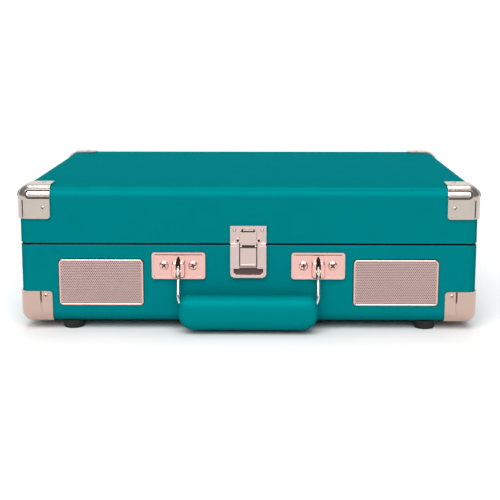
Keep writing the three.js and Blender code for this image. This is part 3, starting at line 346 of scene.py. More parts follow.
def tube(name, points, radius, sides=16, closed=False):
    """A round wire through the given points."""
    line = [Vector(point) for point in points]
    count = len(line)
    ring_points, faces = [], []
    across = None
    for i, centre in enumerate(line):
        before = line[(i - 1) % count] if closed or i else centre
        after = line[(i + 1) % count] if closed or i < count - 1 else centre
        along = (after - before).normalized()
        if across is None:
            across = along.orthogonal().normalized()
        across = (across - along * across.dot(along)).normalized()
        other = along.cross(across)
        for k in range(sides):
            turn = 2 * math.pi * k / sides
            ring_points.append(centre + radius * (across * math.cos(turn) + other * math.sin(turn)))
    for i in range(count if closed else count - 1):
        low, high = i * sides, (i + 1) % count * sides
        faces += [(low + k, low + (k + 1) % sides, high + (k + 1) % sides, high + k) for k in range(sides)]
    if not closed:
        faces += [tuple(range(sides))[::-1], tuple(range((count - 1) * sides, count * sides))]
    return turned_outwards(mesh_object(name, [tuple(point) for point in ring_points], faces))


def smooth_line(points, steps):
    """More points on a smooth curve through the given ones."""
    line = [Vector(point) for point in points]
    ends = [2 * line[0] - line[1], *line, 2 * line[-1] - line[-2]]
    out = []
    for i in range(1, len(ends) - 2):
        p0, p1, p2, p3 = ends[i - 1 : i + 3]
        for step in range(steps):
            t = step / steps
            out.append(
                0.5 * (2 * p1 + (p2 - p0) * t + (2 * p0 - 5 * p1 + 4 * p2 - p3) * t**2)
                + 0.5 * (3 * p1 - p0 - 3 * p2 + p3) * t**3
            )
    return [*out, line[-1]]


def weld(made, distance=1e-6):
    step = made.modifiers.new("weld", "WELD")
    step.merge_threshold = distance
    return bake(made)


def bake(made):
    """Makes an object's modifiers final."""
    graph = bpy.context.evaluated_depsgraph_get()
    mesh = bpy.data.meshes.new_from_object(made.evaluated_get(graph))
    made.modifiers.clear()
    made.data = mesh
    return made


def combine(made, operation, others):
    for other in others:
        step = made.modifiers.new("combine", "BOOLEAN")
        step.operation = operation
        step.solver = "EXACT"
        step.object = other
        bake(made)
        bpy.data.objects.remove(other)
    return made


def cut(made, *holes):
    return combine(made, "DIFFERENCE", holes)


def fused(made, *others):
    return combine(made, "UNION", others)


def kept_inside(made, other):
    return combine(made, "INTERSECT", [other])


def together(made, *others):
    """Puts several shells into one object."""
    for other in others:
        count = len(made.data.vertices)
        points = [v.co.copy() for v in made.data.vertices] + [v.co.copy() for v in other.data.vertices]
        faces = [tuple(p.vertices) for p in made.data.polygons]
        faces += [tuple(count + i for i in p.vertices) for p in other.data.polygons]
        mesh = bpy.data.meshes.new(made.name)
        mesh.from_pydata(points, [], faces)
        made.data = mesh
        bpy.data.objects.remove(other)
    return made


def soften(made, width, steps=3, angle=40):
    """Rounds the edges that are sharper than an angle."""
    step = made.modifiers.new("soften", "BEVEL")
    step.width = width / 1000
    step.segments = steps
    step.limit_method = "ANGLE"
    step.angle_limit = math.radians(angle)
    step.harden_normals = True
    step.miter_outer = "MITER_ARC"
    return made


def piece(made, body, look, slot, *stands_for):
    """Gives a piece its material and its body, and hides the CAD nodes that it stands for."""
    made.data.materials.clear()
    made.data.materials.append(look)
    made.data.shade_smooth()
    made.data.set_sharp_from_angle(angle=math.radians(38))
    flat = made.modifiers.new("flat_faces", "WEIGHTED_NORMAL")
    flat.keep_sharp = True
    if stands_for:
        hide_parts(*stands_for)
    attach(made, body)
    return made


def copy_of(made, name, change):
    """A copy of an object whose points are changed by a 4x4 matrix, in millimetres."""
    shift = Matrix.Translation(world((0, 0, 0)))
    matrix = shift @ Matrix.Diagonal((0.001, 0.001, 0.001, 1)) @ change
    matrix = matrix @ Matrix.Diagonal((1000, 1000, 1000, 1)) @ shift.inverted()
    copy = made.copy()
    copy.data = made.data.copy()
    copy.name = name
    copy.data.transform(matrix)
    if matrix.determinant() < 0:
        copy.data.flip_normals()
    bpy.context.scene.collection.objects.link(copy)
    return copy


def mirrored(made, name, across_x, across_y):
    """A copy on another side of the case."""
    change = Matrix.Identity(4)
    if across_x:
        change = Matrix.Scale(-1, 4, (1, 0, 0)) @ change
    if across_y:
        change = Matrix.Translation((0, CASE_DEPTH, 0)) @ Matrix.Scale(-1, 4, (0, 1, 0)) @ change
    return copy_of(made, name, change)


def moved(made, name, by):
    return copy_of(made, name, Matrix.Translation(by))


def dome(name, radius, height, at, facing, sides=24):
    """A rivet's or a screw's low round head. `facing` is the axis and the side it looks to, such as "-y"."""
    sign = -1 if facing[0] == "-" else 1
    axis = facing[1]
    along = {"x": at[0], "y": at[1], "z": at[2]}[axis]
    others = {"x": (at[1], at[2]), "y": (at[0], at[2]), "z": (at[0], at[1])}[axis]
    steps = [(1.0, -0.6), (1.0, 0.3), (0.86, 0.68), (0.6, 0.88), (0.3, 0.97), (0.0, 1.0)]
    profile = [(radius * r, along + sign * height * h) for r, h in steps]
    return turned(name, [(0.0, along - sign * height * 0.6), *profile], others, sides, axis)


def screw(name, radius, height, at, facing, angle=0.5):
    """A low round head with a cross slot."""
    head = dome(name, radius, height, at, facing, 32)
    return cut(head, *cross(radius, height, at, facing, angle, 0.3, 2))


def cross(radius, height, at, facing, angle, low, high):
    """Two crossed bars on a screw's head, between two shares of the head's height."""
    sign = -1 if facing[0] == "-" else 1
    axis = facing[1]
    place = {"x": (at[1], at[2], at[0]), "y": (at[0], at[2], at[1]), "z": (at[0], at[1], at[2])}[axis]
    bars = []
    for turn in (angle, angle + math.pi / 2):
        c, s = math.cos(turn), math.sin(turn)
        arm = rounded(radius * 1.15, radius * 0.3, radius * 0.06, 2)
        outline = [(a * c - b * s, a * s + b * c) for a, b in arm]
        outline = [(place[0] + a, place[1] + b) for a, b in outline]
        ends = sorted((place[2] + sign * height * low, place[2] + sign * height * high))
        bars.append(prism("bar", outline, axis, *ends))
    return bars


def slot_shade(name, radius, height, at, facing, angle=0.5):
    """Painted shade: dark crosses at the bottom of a screw's slots. It takes what screw() takes."""
    return together(*cross(radius * 0.98, height, at, facing, angle, 0.25, 0.45))


# ---- Camera ----------------------------------------------------------------------------------------------

camera = bpy.data.objects.new("camera", bpy.data.cameras.new("camera"))
camera.data.lens = 82.86
camera.data.sensor_width = 36
camera.location = world((12.9, -877.47, 234.38))
camera.rotation_euler = Euler((math.radians(90 - 10.957), 0, math.radians(0.758)))
bpy.context.scene.collection.objects.link(camera)
bpy.context.scene.camera = camera

# ---- Case ------------------------------------------------------------------------------------------------


def case_form(name, grow):
    """The closed case's outer form, larger all round by `grow`."""
    half = (CASE_WIDTH / 2 + grow, CASE_DEPTH / 2 + grow, (CASE_TOP - CASE_BOTTOM) / 2 + grow)
    low = [c - h for c, h in zip(CASE_MIDDLE, half)]
    high = [c + h for c, h in zip(CASE_MIDDLE, half)]
    form = box(name, low, high)
    step = form.modifiers.new("round", "BEVEL")
    step.width = (CASE_RADIUS + grow) / 1000
    step.segments = 8
    return bake(form)


def hollow(bottom, top):
    outline = rounded(2 * INNER_SIDE, CASE_DEPTH - 2 * CASE_WALL, 5, 5, (0, CASE_DEPTH / 2))
    return prism("hollow", outline, "z", bottom, top)


def everything(bottom, top):
    return box("everything", (-220, -60, bottom), (220, 330, top))


def stay_hole(y, z):
    return prism("pin_hole", circle(1.9, (y, z), 16), "x", -INNER_SIDE - 4, -INNER_SIDE + 1)


def line_inside(made, look):
    """Gives the faces on the inside of a case half its lining."""
    made.data.materials.append(look)
    low, high = world((-INNER_SIDE, CASE_WALL, 0)), world((INNER_SIDE, INNER_BACK, 0))
    floor, roof = world((0, 0, INNER_FLOOR)).z, world((0, 0, CASE_TOP - CASE_PANEL)).z
    reach = 1e-5
    for face in made.data.polygons:
        x, y, z = face.center
        inside = low.x - reach < x < high.x + reach and low.y - reach < y < high.y + reach
        if inside and floor - reach < z < roof + reach:
            face.material_index = 1


base = kept_inside(case_form("case_base_shell", 0), everything(0, BASE_TOP))
ports = []
for side in (-1, 1):
    at = (side * SPEAKER_X, SPEAKER_Z)
    ports.append(prism("seat", rounded(GRILLE_WIDTH + 0.6, GRILLE_HEIGHT + 0.6, 3.3, 5, at), "y", -1, 1.5))
    ports.append(prism("port", rounded(58, 29, 8, 5, at), "y", 0, CASE_WALL + 1))
ports.append(prism("rear", rounded(60, 28, 4, 5, (50, 36)), "y", INNER_BACK - 1, CASE_DEPTH + 1))
base = cut(base, hollow(INNER_FLOOR, CASE_TOP), *ports, stay_hole(220.4, 65))
cleats = []
for x in (-INNER_SIDE - 1, INNER_SIDE - 12):
    for y in (CASE_WALL - 1, INNER_BACK - 12):
        cleats.append(box("cleat", (x, y, INNER_FLOOR - 1), (x + 13, y + 13, DECK_BOTTOM - 0.3)))
base = fused(base, *cleats)
soften(base, 1.1, 3, 50)
piece(base, "base", leatherette, "leatherette", "base_case")
line_inside(base, lining)

lid = kept_inside(case_form("case_lid_shell", 0), everything(LID_BOTTOM, CASE_TOP + 20))
lid = cut(lid, hollow(CASE_BOTTOM, CASE_TOP - CASE_PANEL), stay_hole(220.4, 73))
soften(lid, 0.9, 3, 50)
piece(lid, "lid", leatherette, "leatherette", "lid_case")
line_inside(lid, lining)

# ---- Metal corners ---------------------------------------------------------------------------------------

# All corners are made at the front left and copied to the others.


def groove(name, points, radius):
    return tube(name, points, radius, 12)


def on_edge(distance, angle, radius):
    """A point beside the case's top front edge: how far along x from the case's side, and how far round the
    edge, where 0 looks to the front and 90 up."""
    turn = math.radians(angle)
    y = CASE_RADIUS - radius * math.cos(turn)
    z = CASE_TOP - CASE_RADIUS + radius * math.sin(turn)
    return (-CASE_WIDTH / 2 + distance, y, z)


def to_side(point):
    """The same point beside the case's top side edge."""
    x, y, z = point
    return (y - CASE_WIDTH / 2, x + CASE_WIDTH / 2, z)


def cap(name, proud, reach, corner_z):
    """A thin shell over the case's corner, cut off square at `reach` with softly rounded flange corners."""
    shell = cut(case_form(name, proud), case_form("inner", 0.25))
    x, y = -CASE_WIDTH / 2, 0
    low = (x - reach, y - reach, corner_z - reach)
    high = (x + reach, y + reach, corner_z + reach)
    keep = box("keep", low, high)
    step = keep.modifiers.new("round", "BEVEL")
    step.width = 0.0024
    step.segments = 4
    return kept_inside(shell, bake(keep))


LID_PROUD, BASE_PROUD = 1.6, 1.1
LID_CAP_RADIUS = CASE_RADIUS + LID_PROUD


def rib_loop(radius, far):
    """The line around a rib on the lid's cap, from its lower side round its end to its upper side."""
    loop = [on_edge(d, -2, radius) for d in (far, 20, 12, 8.6)]
    for i in range(1, 8):
        turn = math.pi * i / 8
        loop.append(on_edge(8.6 - 2.4 * math.sin(turn), 16 - 18 * math.cos(turn), radius))
    return loop + [on_edge(d, 34, radius) for d in (8.6, 12, 20, far)]


def lid_cap():
    shell = cap("lid_cap", LID_PROUD, 24.6, CASE_TOP)
    loop = rib_loop(LID_CAP_RADIUS, 30)
    loops = [groove("groove", loop, 0.8), groove("groove", [to_side(p) for p in loop], 0.8)]
    crease = []
    for z in (80, 92, 100, 104):
        turn = math.radians(30)
        radius = LID_CAP_RADIUS + 0.15
        x = -CASE_WIDTH / 2 + CASE_RADIUS - radius * math.sin(turn)
        crease.append((x, CASE_RADIUS - radius * math.cos(turn), z))
    shell = cut(shell, *loops, groove("groove", crease, 0.7))
    rib_line = [on_edge(d, 16, LID_CAP_RADIUS - 0.7) for d in (9.4, 12, 18, 24.2)]
    rib = tube("rib", rib_line, 1.45, 20)
    side_rib = tube("rib", [to_side(p) for p in rib_line], 1.45, 20)
    ends = []
    for place in (rib_line[0], to_side(rib_line[0])):
        ends.append(ball(1.45, place))
    return together(shell, rib, side_rib, *ends)


def lid_cap_shade():
    """Painted shade along the bottoms of the grooves and the fold."""
    line = rib_loop(LID_CAP_RADIUS - 0.42, 24.3)
    x = -CASE_WIDTH / 2 + CASE_RADIUS - (LID_CAP_RADIUS - 0.3) * math.sin(math.radians(30))
    y = CASE_RADIUS - (LID_CAP_RADIUS - 0.3) * math.cos(math.radians(30))
    fold = tube("shade", [(x, y, 90), (x, y, 96), (x, y, 103.5)], 0.42, 10)
    return together(tube("shade", line, 0.62, 10), tube("shade", [to_side(p) for p in line], 0.62, 10), fold)


def base_cap_shade():
    x = -CASE_WIDTH / 2 + 15.5
    y = -BASE_PROUD
    return together(
        tube("shade", [(x, y + 0.1, 31.2), (x, y + 0.1, 27), (x + 0.3, y + 0.25, 22)], 0.36, 10),
        tube(
            "shade", [(y - CASE_WIDTH / 2 + 0.1, 15.5, 31.2), (y - CASE_WIDTH / 2 + 0.2, 15.5, 23)], 0.36, 10
        ),
    )


def ball(radius, at):
    rings = 10
    profile = []
    for i in range(rings + 1):
        turn = math.pi * i / rings - math.pi / 2
        profile.append((max(radius * math.cos(turn), 0.0), at[2] + radius * math.sin(turn)))
    profile[0], profile[-1] = (0.0, profile[0][1]), (0.0, profile[-1][1])
    return turned("ball", profile, at[:2], 20)


def base_cap():
    shell = cap("base_cap", BASE_PROUD, 24.5, CASE_BOTTOM)
    x = -CASE_WIDTH / 2 + 15.5
    y = -BASE_PROUD - 0.35
    crease = [(x, y, 40), (x, y, 16), (x + 0.6, y, 11), (x + 2.4, y + 0.5, 7.4)]
    side = [(y - CASE_WIDTH / 2, x0 + CASE_WIDTH / 2, z) for x0, y, z in crease]
    line = smooth_line(crease, 4)
    side_line = smooth_line(side, 4)
    return cut(shell, groove("groove", line, 0.75), groove("groove", side_line, 0.75))


def corner_rivets(kind, name, z_flange, z_face, proud):
    """Rivet heads, or the painted shade in their slots, on the front, side and top or bottom flanges."""
    x = -CASE_WIDTH / 2
    flange = z_face + (proud if z_face > 50 else -proud)
    facing = "+z" if z_face > 50 else "-z"
    front = kind(name, 1.6, 0.6, (x + 19.2, -proud, z_flange), "-y", 0.2)
    side = kind(name, 1.6, 0.6, (x - proud, 19.2, z_flange), "-x", 0.2)
    flat = kind(name, 1.6, 0.6, (x + 17.5, 17.5, flange), facing, 0.2)
    return together(front, side, flat)


lid_corner = soften(lid_cap(), 0.45, 2, 55)
base_corner = soften(base_cap(), 0.5, 2, 55)
lid_rivets = corner_rivets(screw, "lid_rivets", 97.3, CASE_TOP, LID_PROUD)
base_rivets = corner_rivets(screw, "base_rivets", 28.0, CASE_BOTTOM, BASE_PROUD)
lid_shade = together(lid_cap_shade(), corner_rivets(slot_shade, "shade", 97.3, CASE_TOP, LID_PROUD))
base_shade = together(base_cap_shade(), corner_rivets(slot_shade, "shade", 28.0, CASE_BOTTOM, BASE_PROUD))
for end, across_y in (("front", False), ("back", True)):
    for side, across_x in (("left", False), ("right", True)):
        place = f"{end}_{side}"
        for made, rivets, shade, half, look in (
            (lid_corner, lid_rivets, lid_shade, "lid", corner_nickel),
            (base_corner, base_rivets, base_shade, "base", shaded_corner_nickel),
        ):
            shell = mirrored(made, f"{half}_cap_{place}", across_x, across_y)
            piece(shell, half, look, "rose_nickel", f"{half}_corner_{place}")
            heads = mirrored(rivets, f"{half}_cap_rivets_{place}", across_x, across_y)
            piece(heads, half, look, "rose_nickel")
            # Painted shade: dark tubes in the caps' grooves and dark crosses in the rivets' slots
            grooves = mirrored(shade, f"{half}_cap_groove_shade_{place}", across_x, across_y)
            piece(grooves, half, groove_shade, None)
for made in (lid_corner, base_corner, lid_rivets, base_rivets, lid_shade, base_shade):
    bpy.data.objects.remove(made)

# ---- Feet ------------------------------------------------------------------------------------------------

FOOT = [(0, 0.5), (3.4, 0.5), (3.8, 0), (6.7, 0), (7.5, 0.25), (7.9, 0.9), (8.45, 6.1), (8.45, 6.7), (0, 6.7)]
for end, y in (("front", 12.5), ("back", CASE_DEPTH - 12.5)):
    for side, x in (("left", -139.5), ("right", 139.5)):
        standing = turned(f"rubber_foot_{end}_{side}", FOOT, (x, y), 48)
        piece(standing, "base", foot_rubber, "foot_rubber", f"foot_{end}_{side}")

# ---- Grilles ---------------------------------------------------------------------------------------------


def perforated(name, width, height, at, front, columns, rows):
    """A sheet of punched holes in staggered rows, with the walls of the holes."""
    cell, rise = width / columns, height / rows
    hole = 0.30 * cell
    ring = [(1, 0), (1, 1), (0, 1), (-1, 1), (-1, 0), (-1, -1), (0, -1), (1, -1)]
    points, faces = [], []
    for row in range(rows):
        shift = cell / 2 if row % 2 else 0
        count = columns - row % 2
        z = at[1] - height / 2 + (row + 0.5) * rise
        for column in range(count):
            x = at[0] - width / 2 + shift + (column + 0.5) * cell
            start = len(points)
            for i, j in ring:
                points.append((x + i * cell / 2, front, z + j * rise / 2))
            for depth in (0, 0.6):
                for i, j in ring:
                    size = hole / math.hypot(i, j)
                    points.append((x + i * size, front + depth, z + j * size))
            for k in range(8):
                after = (k + 1) % 8
                faces.append((start + k, start + after, start + 8 + after, start + 8 + k))
                faces.append((start + 8 + k, start + 8 + after, start + 16 + after, start + 16 + k))
        if shift:
            for x0 in (at[0] - width / 2, at[0] + width / 2 - cell / 2):
                start = len(points)
                corners = [(x0, -1), (x0 + cell / 2, -1), (x0 + cell / 2, 1), (x0, 1)]
                points += [(x, front, z + j * rise / 2) for x, j in corners]
                faces.append((start, start + 1, start + 2, start + 3))
    return mesh_object(name, points, faces)


def grille_frame(name, at):
    """The pressed rim around the punched field."""
    rim = prism(name, rounded(GRILLE_WIDTH, GRILLE_HEIGHT, 3, 6, at), "y", -0.8, 1.2)
    opening = prism("opening", rounded(GRILLE_WIDTH - 3.0, GRILLE_HEIGHT - 3.0, 1.6, 5, at), "y", -2, 2)
    return soften(cut(rim, opening), 0.45, 3, 40)


for side, sign in (("left", -1), ("right", 1)):
    at = (sign * SPEAKER_X, SPEAKER_Z)
    rim = grille_frame(f"grille_rim_{side}", at)
    piece(rim, "base", rose_nickel, "rose_nickel", f"grille_{side}")
    sheet = perforated(f"grille_sheet_{side}", GRILLE_WIDTH - 2.6, GRILLE_HEIGHT - 2.6, at, -0.3, 42, 26)
    piece(sheet, "base", grille_nickel, "rose_nickel")
    sheet.data.shade_flat()
    cloth_outline = rounded(GRILLE_WIDTH - 1, GRILLE_HEIGHT - 1, 2, 4, at)
    cloth = prism(f"grille_cloth_{side}", cloth_outline, "y", 0.75, 1.1)
    piece(cloth, "base", grille_cloth, None)

# ---- Handle ----------------------------------------------------------------------------------------------


def bracket(name):
    """A pressed plate at x = 0, with a raised rim and two cheeks that hold the bar for the wire's eye."""
    at = (0, BRACKET_Z)
    plate = prism(name, rounded(41.6, 21, 2.2, 6, at), "y", -2.3, -0.3)
    plate = cut(plate, prism("field", rounded(38.6, 18.0, 1.4, 5, at), "y", -3, -1.5))
    drop = [(1.9, 54.5), (1.7, 56.5), (0.9, 58.6), (0, 60.0), (-0.9, 58.6), (-1.7, 56.5), (-1.9, 54.5)]
    drop += [(-1.9, 43.6), (1.9, 43.6)]
    pivot_y, pivot_z = HANDLE_PIVOT
    cheeks = prism("cheeks", rounded(10.4, 13.2, 2.4, 6, (0, pivot_z + 1.3)), "y", pivot_y - 2.0, -1.4)
    strap = prism("strap", rounded(9.2, 16.6, 1.2, 4, (0, BRACKET_Z)), "y", -2.35, -1.3)
    body = fused(plate, soften_now(cheeks, 1.6, 4), strap)
    body = cut(body, prism("drop", drop, "y", -12, 1))
    bar = prism("bar", circle(1.5, HANDLE_PIVOT, 20), "x", -3.2, 3.2)
    return together(soften_now(body, 0.28, 2), bar)


def soften_now(made, width, steps):
    return bake(soften(made, width, steps, 35))


for side, sign in (("left", -1), ("right", 1)):
    middle = sign * BRACKET_X
    made = bracket("bracket")
    plate = moved(made, f"bracket_plate_{side}", (middle, 0, 0))
    bpy.data.objects.remove(made)
    piece(plate, "base", rose_nickel, "rose_nickel", f"handle_bracket_{side}")
    # Painted shade: a dark sheet behind the bracket's drop-shaped opening
    opening_shade = prism(f"bracket_backing_{side}", rounded(8, 18, 1, 3, (middle, BRACKET_Z)), "y", -0.29, -0.05)
    piece(opening_shade, "base", slot_and_gap_shade, None)
    # Painted shade: a dark strip along the top of the bracket's field, under its raised rim
    rim_shade = box(f"bracket_rim_shade_{side}", (middle - 18.6, -1.62, 60.6), (middle + 18.6, -1.4, 61.25))
    piece(rim_shade, "base", groove_shade, None)
    for inner, x in (("left", -11.3), ("right", 11.3)):
        form = (3.6, 1.3, (middle + x, -1.5, BRACKET_Z), "-y", 0.5 + sign * x)
        head = screw(f"bracket_screw_{side}_{inner}", *form)
        piece(head, "base", rose_nickel, "rose_nickel")
        dark = slot_shade(f"bracket_slot_{side}_{inner}", *form)
        piece(dark, "base", groove_shade, None)

WIRE_ROUTE = [
    (BRACKET_X, HANDLE_PIVOT[0], HANDLE_PIVOT[1] - 3.3),
    (BRACKET_X, HANDLE_PIVOT[0] - 0.8, 41),
    (BRACKET_X, HANDLE_PIVOT[0] - 3.4, 34),
    (BRACKET_X - 0.2, HANDLE_PIVOT[0] - 4.6, 29.8),
    (BRACKET_X - 0.9, HANDLE_PIVOT[0] - 5.1, 26.2),
    (BRACKET_X - 3.2, HANDLE_PIVOT[0] - 5.4, 22.6),
    (BRACKET_X - 8.5, HANDLE_PIVOT[0] - 5.4, 19.6),
    (BRACKET_X - 18, HANDLE_PIVOT[0] - 5.4, 18.5),
]


def eye_ring(x):
    points = []
    for i in range(36):
        turn = 2 * math.pi * i / 36
        points.append((x, HANDLE_PIVOT[0] + 3.3 * math.cos(turn), HANDLE_PIVOT[1] + 3.3 * math.sin(turn)))
    return tube("eye", points, 1.4, 16, closed=True)


right = smooth_line(WIRE_ROUTE, 8)
left = [(-x, y, z) for x, y, z in reversed(right)]
bail = together(tube("bail_wire", [*right, *left], 1.4, 16), eye_ring(BRACKET_X), eye_ring(-BRACKET_X))
piece(bail, "handle", wire_nickel, "rose_nickel", "handle_wire")

GRIP_HALF, GRIP_LOW, GRIP_HIGH = 54, 3.8, 30.8
GRIP_FRONT, GRIP_BACK = -20, -1.2


def grip():
    """A padded bar with softly rectangular cross-sections. Its ends close in, most at the lower corners."""
    along, around = 96, 56
    middle_y = (GRIP_FRONT + GRIP_BACK) / 2
    points, faces = [], []
    for i in range(along + 1):
        t = -math.cos(math.pi * i / along)
        x = GRIP_HALF * t
        left_over = GRIP_HALF - abs(x)
        low_round = 12 - math.sqrt(max(144 - max(12 - left_over, 0) ** 2, 0))
        high_round = 7.5 - math.sqrt(max(56.25 - max(7.5 - left_over, 0) ** 2, 0))
        end_round = 6 - math.sqrt(max(36 - max(6 - left_over, 0) ** 2, 0))
        low, high = GRIP_LOW + low_round, GRIP_HIGH - high_round
        half_y = (GRIP_BACK - GRIP_FRONT) / 2 - end_round * 0.8
        middle_z, half_z = (low + high) / 2, (high - low) / 2
        for k in range(around):
            turn = 2 * math.pi * k / around
            c, s = math.cos(turn), math.sin(turn)
            power = 2 / 2.6
            y = middle_y + half_y * math.copysign(abs(c) ** power, c)
            z = middle_z + half_z * math.copysign(abs(s) ** power, s)
            points.append(puckered((x, y, z)))
    for i in range(along):
        low, high = i * around, (i + 1) * around
        faces += [(low + k, low + (k + 1) % around, high + (k + 1) % around, high + k) for k in range(around)]
    faces += [tuple(range(around))[::-1], tuple(range(along * around, (along + 1) * around))]
    return turned_outwards(mesh_object("grip_padding", points, faces))


def puckered(point):
    """Draws the padding in around the two places where the wire enters, with a few small folds there, and
    lets the covering wander slightly elsewhere."""
    x, y, z = point
    entry = Vector((math.copysign(53.0, x), -10.3, 25.0))
    out = Vector(point) - entry
    near = math.exp(-((out.length / 5.5) ** 2))
    folds = math.cos(7 * math.atan2(out.y, out.z)) * math.exp(-(((out.length - 6) / 4) ** 2))
    pull = Vector((math.copysign(0.6, x), 0, 0.8)) * (1.1 * near + 0.22 * folds)
    wander = 0.16 * noise.noise(Vector((x * 0.09, y * 0.14, z * 0.14)))
    return (x - pull.x, y + wander, z - pull.z + wander * 0.6)


padding = grip()
piece(padding, "handle", grip_leatherette, "leatherette", "handle_grip")
seam = []
for i in range(41):
    x = -50 + 100 * i / 40
    rise = 2.2 * max((abs(x) - 40) / 10, 0) ** 2
    seam.append((x, GRIP_BACK + 0.02 + 0.9 * max((abs(x) - 46) / 4, 0) ** 2 * -1, 17.5 + rise))
thread = tube("grip_seam", seam, 0.35, 8)
piece(thread, "handle", grip_leatherette, "leatherette")

# ---- CAD pieces that keep their form, with softened edges --------------------------------------------------


def keep(node, look, width, steps=2, angle=30):
    """Shows a CAD node itself, with its edges rounded and a material."""
    made = frame["nodes"][node]
    custom = made.data.attributes.get("custom_normal")
    if custom:
        made.data.attributes.remove(custom)
    made.data.materials.clear()
    made.data.materials.append(look)
    made.data.shade_smooth()
    made.data.set_sharp_from_angle(angle=math.radians(38))
    joined = made.modifiers.new("weld", "WELD")
    joined.merge_threshold = 1e-6
    soften(made, width, steps, angle)
    return made


for node in ("latch_base_plate", "latch_lever", "latch_hasp", "latch_catch_plate"):
    keep(node, latch_nickel, 0.3)
for side in ("left", "right"):
    keep(f"hinge_base_leaf_{side}", zinc_steel, 0.25)
    keep(f"hinge_lid_leaf_{side}", zinc_steel, 0.25)
    keep(f"speaker_{side}", zinc_steel, 0.4)
    keep(f"speaker_cone_{side}", cone_paper, 0.1)
    keep(f"speaker_lead_{side}", lead_insulation, 0.1, 1, 80)
for node in ("motor_lead", "tonearm_lead", "rear_lead"):
    keep(node, lead_insulation, 0.1, 1, 80)
keep("stay_lower_link", zinc_steel, 0.2)
keep("stay_upper_link", zinc_steel, 0.2)
keep("motor", zinc_steel, 0.5)
keep("drive_belt", foot_rubber, 0.1, 1, 60)
keep("tonearm_gimbal", black_plastic, 0.5)
keep("cartridge", cartridge_red, 0.4)
keep("arm_rest", black_plastic, 0.4)
keep("arm_rest_clip", black_plastic, 0.35)
keep("cue_lever", black_plastic, 0.4)
keep("cue_platform", black_plastic, 0.3, 2, 45)
keep("speed_selector", black_plastic, 0.5)
keep("auto_stop_switch", black_plastic, 0.5)
keep("rear_panel", black_plastic, 0.4)
keep("amplifier_board", circuit_board, 0.2)

# ---- Latch details ---------------------------------------------------------------------------------------

# Painted shade: a dark sheet in the slot above the hasp
dark_slot = prism("latch_slot_shadow", rounded(10.4, 1.9, 0.4, 3, (-0.2, 80.1)), "y", -1.42, -1.25)
piece(dark_slot, "lid", slot_and_gap_shade, None)
for name, x in (("left", -10.8), ("right", 10.8)):
    rivet = dome(f"latch_rivet_{name}", 1.35, 0.6, (x, -1.3, 80.4), "-y")
    piece(rivet, "lid", latch_nickel, "rose_nickel")
recess = prism("latch_recess", rounded(23, 5.4, (0.6, 0.6, 2.6, 2.6), 5, (0, 48.0)), "y", -1.42, -1.2)
piece(recess, "base", recess_shade, None)
rails = [box("rail", (x, -4.2, 67.9), (x + 6.4, -1.75, 70.4)) for x in (-13.8, 7.4)]
piece(soften(together(*rails), 0.3, 2), "base", latch_nickel, "rose_nickel")
rails[0].name = "latch_rail_ends"
# Painted shade: dark sheets in the gaps beside the lever and in two small holes
gaps = [box("gap", (x, -4.3, 53), (x + 0.7, -1.3, 67.6)) for x in (-7.0, 6.3)]
gaps += [prism("hole", circle(1.0, (x, 72.7), 20), "y", -4.74, -4.5) for x in (-8.1, 8.1)]
piece(together(*gaps), "base", slot_and_gap_shade, None)
gaps[0].name = "latch_gap_shadows"
# Painted shade: a dark strip along the split between the lever and the hasp
split = prism("latch_split_shadow", rounded(12.2, 0.9, 0.2, 2, (0, 67.4)), "y", -5.63, -5.5)
piece(split, "latch_lever", slot_and_gap_shade, None)
shadow = prism("latch_back_shadow", rounded(13.6, 16.4, 0.5, 3, (0, 59.4)), "y", -1.42, -1.2)
piece(shadow, "base", slot_and_gap_shade, None)

# ---- Hinge screws ----------------------------------------------------------------------------------------

for side, sign in (("left", -1), ("right", 1)):
    for half, z in (("base", 54), ("lid", 84)):
        heads = [
            screw(
                f"hinge_screws_{half}_{side}",
                2.2,
                0.8,
                (sign * HINGE_X + dx, CASE_DEPTH + 1.5, z),
                "+y",
                0.4 + dx,
            )
            for dx in (-11, 11)
        ]
        piece(together(*heads), half, zinc_steel, "zinc_steel")

# ---- Deck ------------------------------------------------------------------------------------------------


def slider_slot(slot):
    x, y, travel = slot
    outline = rounded(travel + 5, 4, 1, 3, (x + travel / 2, y))
    return prism("slot", outline, "z", DECK_BOTTOM - 1, DECK_TOP + 1)


def round_hole(radius, at, bottom, top, sides=40):
    return prism("hole", circle(radius, at, sides), "z", bottom, top)


def deck():
    outline = rounded(2 * INNER_SIDE - 0.6, CASE_DEPTH - 2 * CASE_WALL - 0.6, 4.7, 5, (0, CASE_DEPTH / 2))
    sheet = prism("deck", outline, "z", DECK_BOTTOM, DECK_TOP)
    well = round_hole(105, PLATTER, WELL_FLOOR - 3, DECK_TOP - 1, 96)
    cup = round_hole(22, ADAPTER, DECK_TOP - 6, DECK_TOP - 1, 48)
    angle = math.radians(22)
    pin = (ARM_X - 30 * math.sin(angle), ARM_Y - 30 * math.cos(angle))
    return cut(
        fused(sheet, well, cup),
        round_hole(102, PLATTER, WELL_FLOOR, DECK_TOP + 1, 96),
        round_hole(3.3, PLATTER, 0, DECK_TOP),
        round_hole(6, PULLEY, 0, DECK_TOP),
        round_hole(19.6, ADAPTER, DECK_TOP - 4, DECK_TOP + 1, 48),
        round_hole(7.5, (ARM_X, ARM_Y), 0, DECK_TOP + 1),
        round_hole(4, VOLUME, 0, DECK_TOP + 1),
        round_hole(3, pin, 0, DECK_TOP + 1),
        slider_slot(SPEED_SLOT),
        slider_slot(STOP_SLOT),
    )


piece(soften(deck(), 0.5, 2, 50), "base", deck_plastic, "deck_plastic", "deck_plate")

